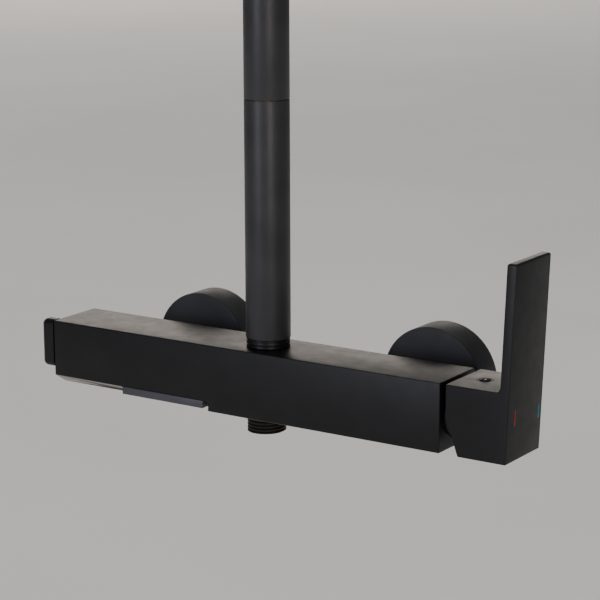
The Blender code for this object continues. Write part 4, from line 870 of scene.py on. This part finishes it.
def make_riser(finishes):
    """Two lengths of drawn pipe on a grooved collar and spigot."""
    for part in ("lower", "upper"):
        node = f"riser_pipe_{part}"
        low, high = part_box(node)
        centre = (low + high) / 2
        radius = radius_of(node)
        inner = radius - PIPE_WALL
        length = high.z - low.z
        outline = [(inner, 0), (radius, 0), (radius, length), (inner, length)]
        pipe = lathe(f"{part}_pipe", outline, (centre.x, centre.y, low.z), "Z",
                     LARGE_SIDES)
        soften(pipe, PIPE_EDGE, 3, CORNERS_ONLY)
        if part == "lower":
            screw = middle("riser_grub_screw")
            cut_hole(pipe, radius_of("riser_grub_screw", "x") + GAP,
                     (screw.x, centre.y, screw.z), 2 * radius, "Y", SMALL_SIDES)
        # The pipe's lighter black is painted fill light
        hand_over(pipe, "mixer_body", "matte_black", finishes["tube_black_painted_fill"], node)
    make_spigot(finishes)


def make_spigot(finishes):
    """Collar with two turned grooves, and the spigot with its seals inside the pipe."""
    low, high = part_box("riser_spigot")
    centre = (low + high) / 2
    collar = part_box("body_casting")[1].z + GAP
    collar_top = collar + COLLAR_HEIGHT
    outer = radius_of("riser_spigot")
    spigot = radius_of("riser_pipe_lower") - PIPE_WALL - GAP
    outline = [(SPIGOT_BORE, low.z), (RISER_PORT_RADIUS - GAP, low.z),
               (RISER_PORT_RADIUS - GAP, collar), (outer, collar)]
    for groove in COLLAR_GROOVES:
        foot = collar + groove
        head = foot + COLLAR_GROOVE_WIDTH
        depth = outer - COLLAR_GROOVE_DEPTH
        outline += [(outer, foot), (depth, foot), (depth, head), (outer, head)]
    outline += [(outer, collar_top), (spigot, collar_top)]
    for seal in ("riser_seal_1", "riser_seal_2"):
        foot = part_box(seal)[0].z - GAP
        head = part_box(seal)[1].z + GAP
        depth = spigot - RING_GROOVE_DEPTH
        outline += [(spigot, foot), (depth, foot), (depth, head), (spigot, head)]
    outline += [(spigot, high.z), (SPIGOT_BORE, high.z)]
    outline = [(radius, z - low.z) for radius, z in outline]
    piece = lathe("collar_spigot", outline, (centre.x, centre.y, low.z), "Z")
    soften(piece, RING_EDGE, 2, CORNERS_ONLY)
    screw = middle("riser_grub_screw")
    cut_hole(piece, radius_of("riser_grub_screw", "x") + GAP,
             (screw.x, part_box("riser_grub_screw")[0].y - GAP, screw.z), 2 * outer, "Y",
             SMALL_SIDES)
    hand_over(piece, "mixer_body", "matte_black", finishes["flat_black"], "riser_spigot")


def make_hose_outlet(finishes):
    """Outlet under the bar, with a real half-inch thread."""
    low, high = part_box("hose_outlet_nipple")
    centre = (low + high) / 2
    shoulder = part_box("body_casting")[0].z - GAP
    outer = radius_of("hose_outlet_nipple")
    drop = high.z - shoulder
    land = drop + OUTLET_LAND
    undercut = outer - THREAD_DEPTH - UNDERCUT
    plug = OUTLET_PORT_RADIUS - GAP
    outline = [(plug, 0), (plug, drop), (outer, drop), (outer, land), (undercut, land),
               (undercut, land + 2 * THREAD_RELIEF)]
    outlet = lathe("hose_outlet", outline, (centre.x, centre.y, high.z), "-Z", hollow=False)
    soften(outlet, BURR_EDGE, 2, CORNERS_ONLY)
    length = shoulder - OUTLET_LAND - THREAD_RELIEF - low.z
    screwed = thread("cutter", outer, length, (centre.x, centre.y, low.z), "Z")
    combine(outlet, screwed, "UNION")
    cut_hole(outlet, OUTLET_BORE, (centre.x, centre.y, low.z - OVER),
             high.z - low.z + 2 * OVER, "Z")
    hand_over(outlet, "mixer_body", "matte_black", finishes["thread_black"],
              "hose_outlet_nipple")


def make_springs(finishes):
    """Check valve springs, coiled from round wire, each with a mesh of its own and drawn at one
    length. The real spring shortens as its poppet opens.
    """
    for side in ("hot", "cold"):
        low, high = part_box(side + "_check_valve_spring")
        length = high.y - low.y
        radius = (high.x - low.x) / 2 - SPRING_WIRE_RADIUS
        spring = fresh(bpy.ops.mesh.primitive_circle_add, side + "_spring",
                       vertices=SPRING_WIRE_SIDES, radius=SPRING_WIRE_RADIUS,
                       rotation=(math.pi / 2, 0, 0), location=(radius, 0, SPRING_WIRE_RADIUS))
        settle(spring)
        coil = spring.modifiers.new("Coil", "SCREW")
        coil.iterations = SPRING_TURNS
        coil.screw_offset = (length - 2 * SPRING_WIRE_RADIUS) / SPRING_TURNS
        coil.steps = coil.render_steps = SMALL_SIDES
        coil.merge_threshold = MERGE
        apply_modifier(spring, coil)

        def close_ends(_):
            bpy.ops.mesh.select_all(action="SELECT")
            bpy.ops.mesh.fill_holes(sides=0)

        edit(spring, close_ends)
        spring.rotation_euler = TURNS["Y"]
        spring.location = ((low.x + high.x) / 2, low.y, (low.z + high.z) / 2)
        settle(spring)
        hand_over(spring, "mixer_body", "steel", finishes["steel"]["Y"],
                  side + "_check_valve_spring")
        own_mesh(spring)


def dome_arc(radius, start, stop):
    """Points of an arc about the lever's pivot, as radius and height, between two angles."""
    angles = [start + (stop - start) * i / DOME_STEPS for i in range(DOME_STEPS + 1)]
    return [(radius * math.cos(angle), radius * math.sin(angle)) for angle in angles]


def make_dome(finishes):
    """Domed cap round the lever's pivot, with a round mouth for the stem."""
    low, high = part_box("dome_cap")
    pivot = middle("lever_pivot_pin")
    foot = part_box("body_casting")[1].x + GAP
    radius = math.hypot((high.z - low.z) / 2, foot - pivot.x)
    mouth = math.sqrt(radius ** 2 - (high.x - pivot.x) ** 2)
    start = math.asin((foot - pivot.x) / radius)
    stop = math.acos(mouth / radius)
    inner = radius - DOME_WALL
    inner_start = math.asin((foot - pivot.x) / inner)
    inner_stop = math.acos(mouth / inner)
    outline = dome_arc(radius, start, stop) + dome_arc(inner, inner_stop, inner_start)
    skirt = inner * math.cos(inner_start)
    outline += [(skirt, low.x - pivot.x), (skirt + DOME_WALL, low.x - pivot.x),
                (skirt + DOME_WALL, foot - pivot.x)]
    dome = lathe("dome", outline, pivot, "X")
    soften(dome, BURR_EDGE, 2, CORNERS_ONLY)
    # The dome shares the pipe's black, lightened as painted fill light
    hand_over(dome, "mixer_body", "matte_black", finishes["tube_black_painted_fill"], "dome_cap")


# Studio

def direction(azimuth, elevation):
    """The way from the bar, by the angle to the right of straight on and the angle upwards."""
    flat = math.cos(elevation)
    return Vector((math.sin(azimuth) * flat, -math.cos(azimuth) * flat, math.sin(elevation)))


def make_camera():
    """A long lens in front, to the right and a little above."""
    data = bpy.data.cameras.new("Camera")
    data.lens = CAMERA_LENS
    data.sensor_width = CAMERA_SENSOR
    camera = bpy.data.objects.new("Camera", data)
    bpy.context.scene.collection.objects.link(camera)
    away = direction(CAMERA_AZIMUTH, CAMERA_ELEVATION)
    look = (-away).to_track_quat("-Z", "Y").to_matrix().to_4x4()
    camera.matrix_world = (Matrix.Translation(CAMERA_TARGET + away * CAMERA_DISTANCE) @ look
                           @ Matrix.Rotation(CAMERA_ROLL, 4, "Z"))
    bpy.context.scene.camera = camera


def make_softbox(name, size, power, color="#ffffff"):
    """A rectangular light that faces straight down until it is turned."""
    data = bpy.data.lights.new(name, "AREA")
    data.shape = "RECTANGLE"
    data.size, data.size_y = size
    data.energy = power
    data.color = linear(color)[:3]
    light = bpy.data.objects.new(name, data)
    light.visible_camera = False
    bpy.context.scene.collection.objects.link(light)
    return light


def make_studio():
    """Pale paper floor, faint air and the softboxes."""
    floor = fresh(bpy.ops.mesh.primitive_plane_add, "floor", size=FLOOR_SIZE,
                  location=(0, 0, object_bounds()[0][2] - FLOOR_DROP))
    paper, tree, shader, place = begin_material("Pale paper sweep", metallic=0.0)
    tone = speckle(tree, place, FLOOR_CLOUD, 0.0, 1.0)
    two_tone(tree, shader, tone.outputs["Result"], "#e9e8e5", "#efeeeb")
    shader.inputs["Roughness"].default_value = FLOOR_ROUGHNESS
    floor.data.materials.append(paper)
    settle(floor)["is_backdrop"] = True

    world = bpy.data.worlds.new("Studio")
    bpy.context.scene.world = world
    world.use_nodes = True
    air = world.node_tree.nodes["Background"]
    air.inputs["Color"].default_value = linear(AIR_COLOUR)
    air.inputs["Strength"].default_value = AIR_STRENGTH

    for name, azimuth, elevation, distance, size, power, color in LIGHTS:
        away = direction(math.radians(azimuth), math.radians(elevation))
        softbox = make_softbox(name, size, power, color)
        softbox.location = away * distance
        softbox.rotation_euler = (-away).to_track_quat("-Z", "Y").to_euler()
    wash = make_softbox("Floor wash", WASH_SIZE, WASH_POWER)
    wash.location = (0, 0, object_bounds()[0][2] - WASH_DROP)


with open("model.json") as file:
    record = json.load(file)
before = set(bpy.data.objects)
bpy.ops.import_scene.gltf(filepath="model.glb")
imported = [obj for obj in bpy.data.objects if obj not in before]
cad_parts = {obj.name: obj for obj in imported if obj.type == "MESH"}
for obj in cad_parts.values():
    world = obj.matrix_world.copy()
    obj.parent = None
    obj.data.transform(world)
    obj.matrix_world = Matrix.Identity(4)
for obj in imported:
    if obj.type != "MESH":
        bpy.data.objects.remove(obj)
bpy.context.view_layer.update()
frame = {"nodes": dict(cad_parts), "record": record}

finishes = make_finishes()
finish_frame_nodes(finishes)
make_camera()
make_studio()
make_bar(finishes)
make_nozzle(finishes)
make_handle(finishes)
make_indicator(finishes)
make_marks(finishes)
make_knob(finishes)
make_covers(finishes)
make_inlets(finishes)
make_riser(finishes)
make_hose_outlet(finishes)
make_springs(finishes)
make_dome(finishes)
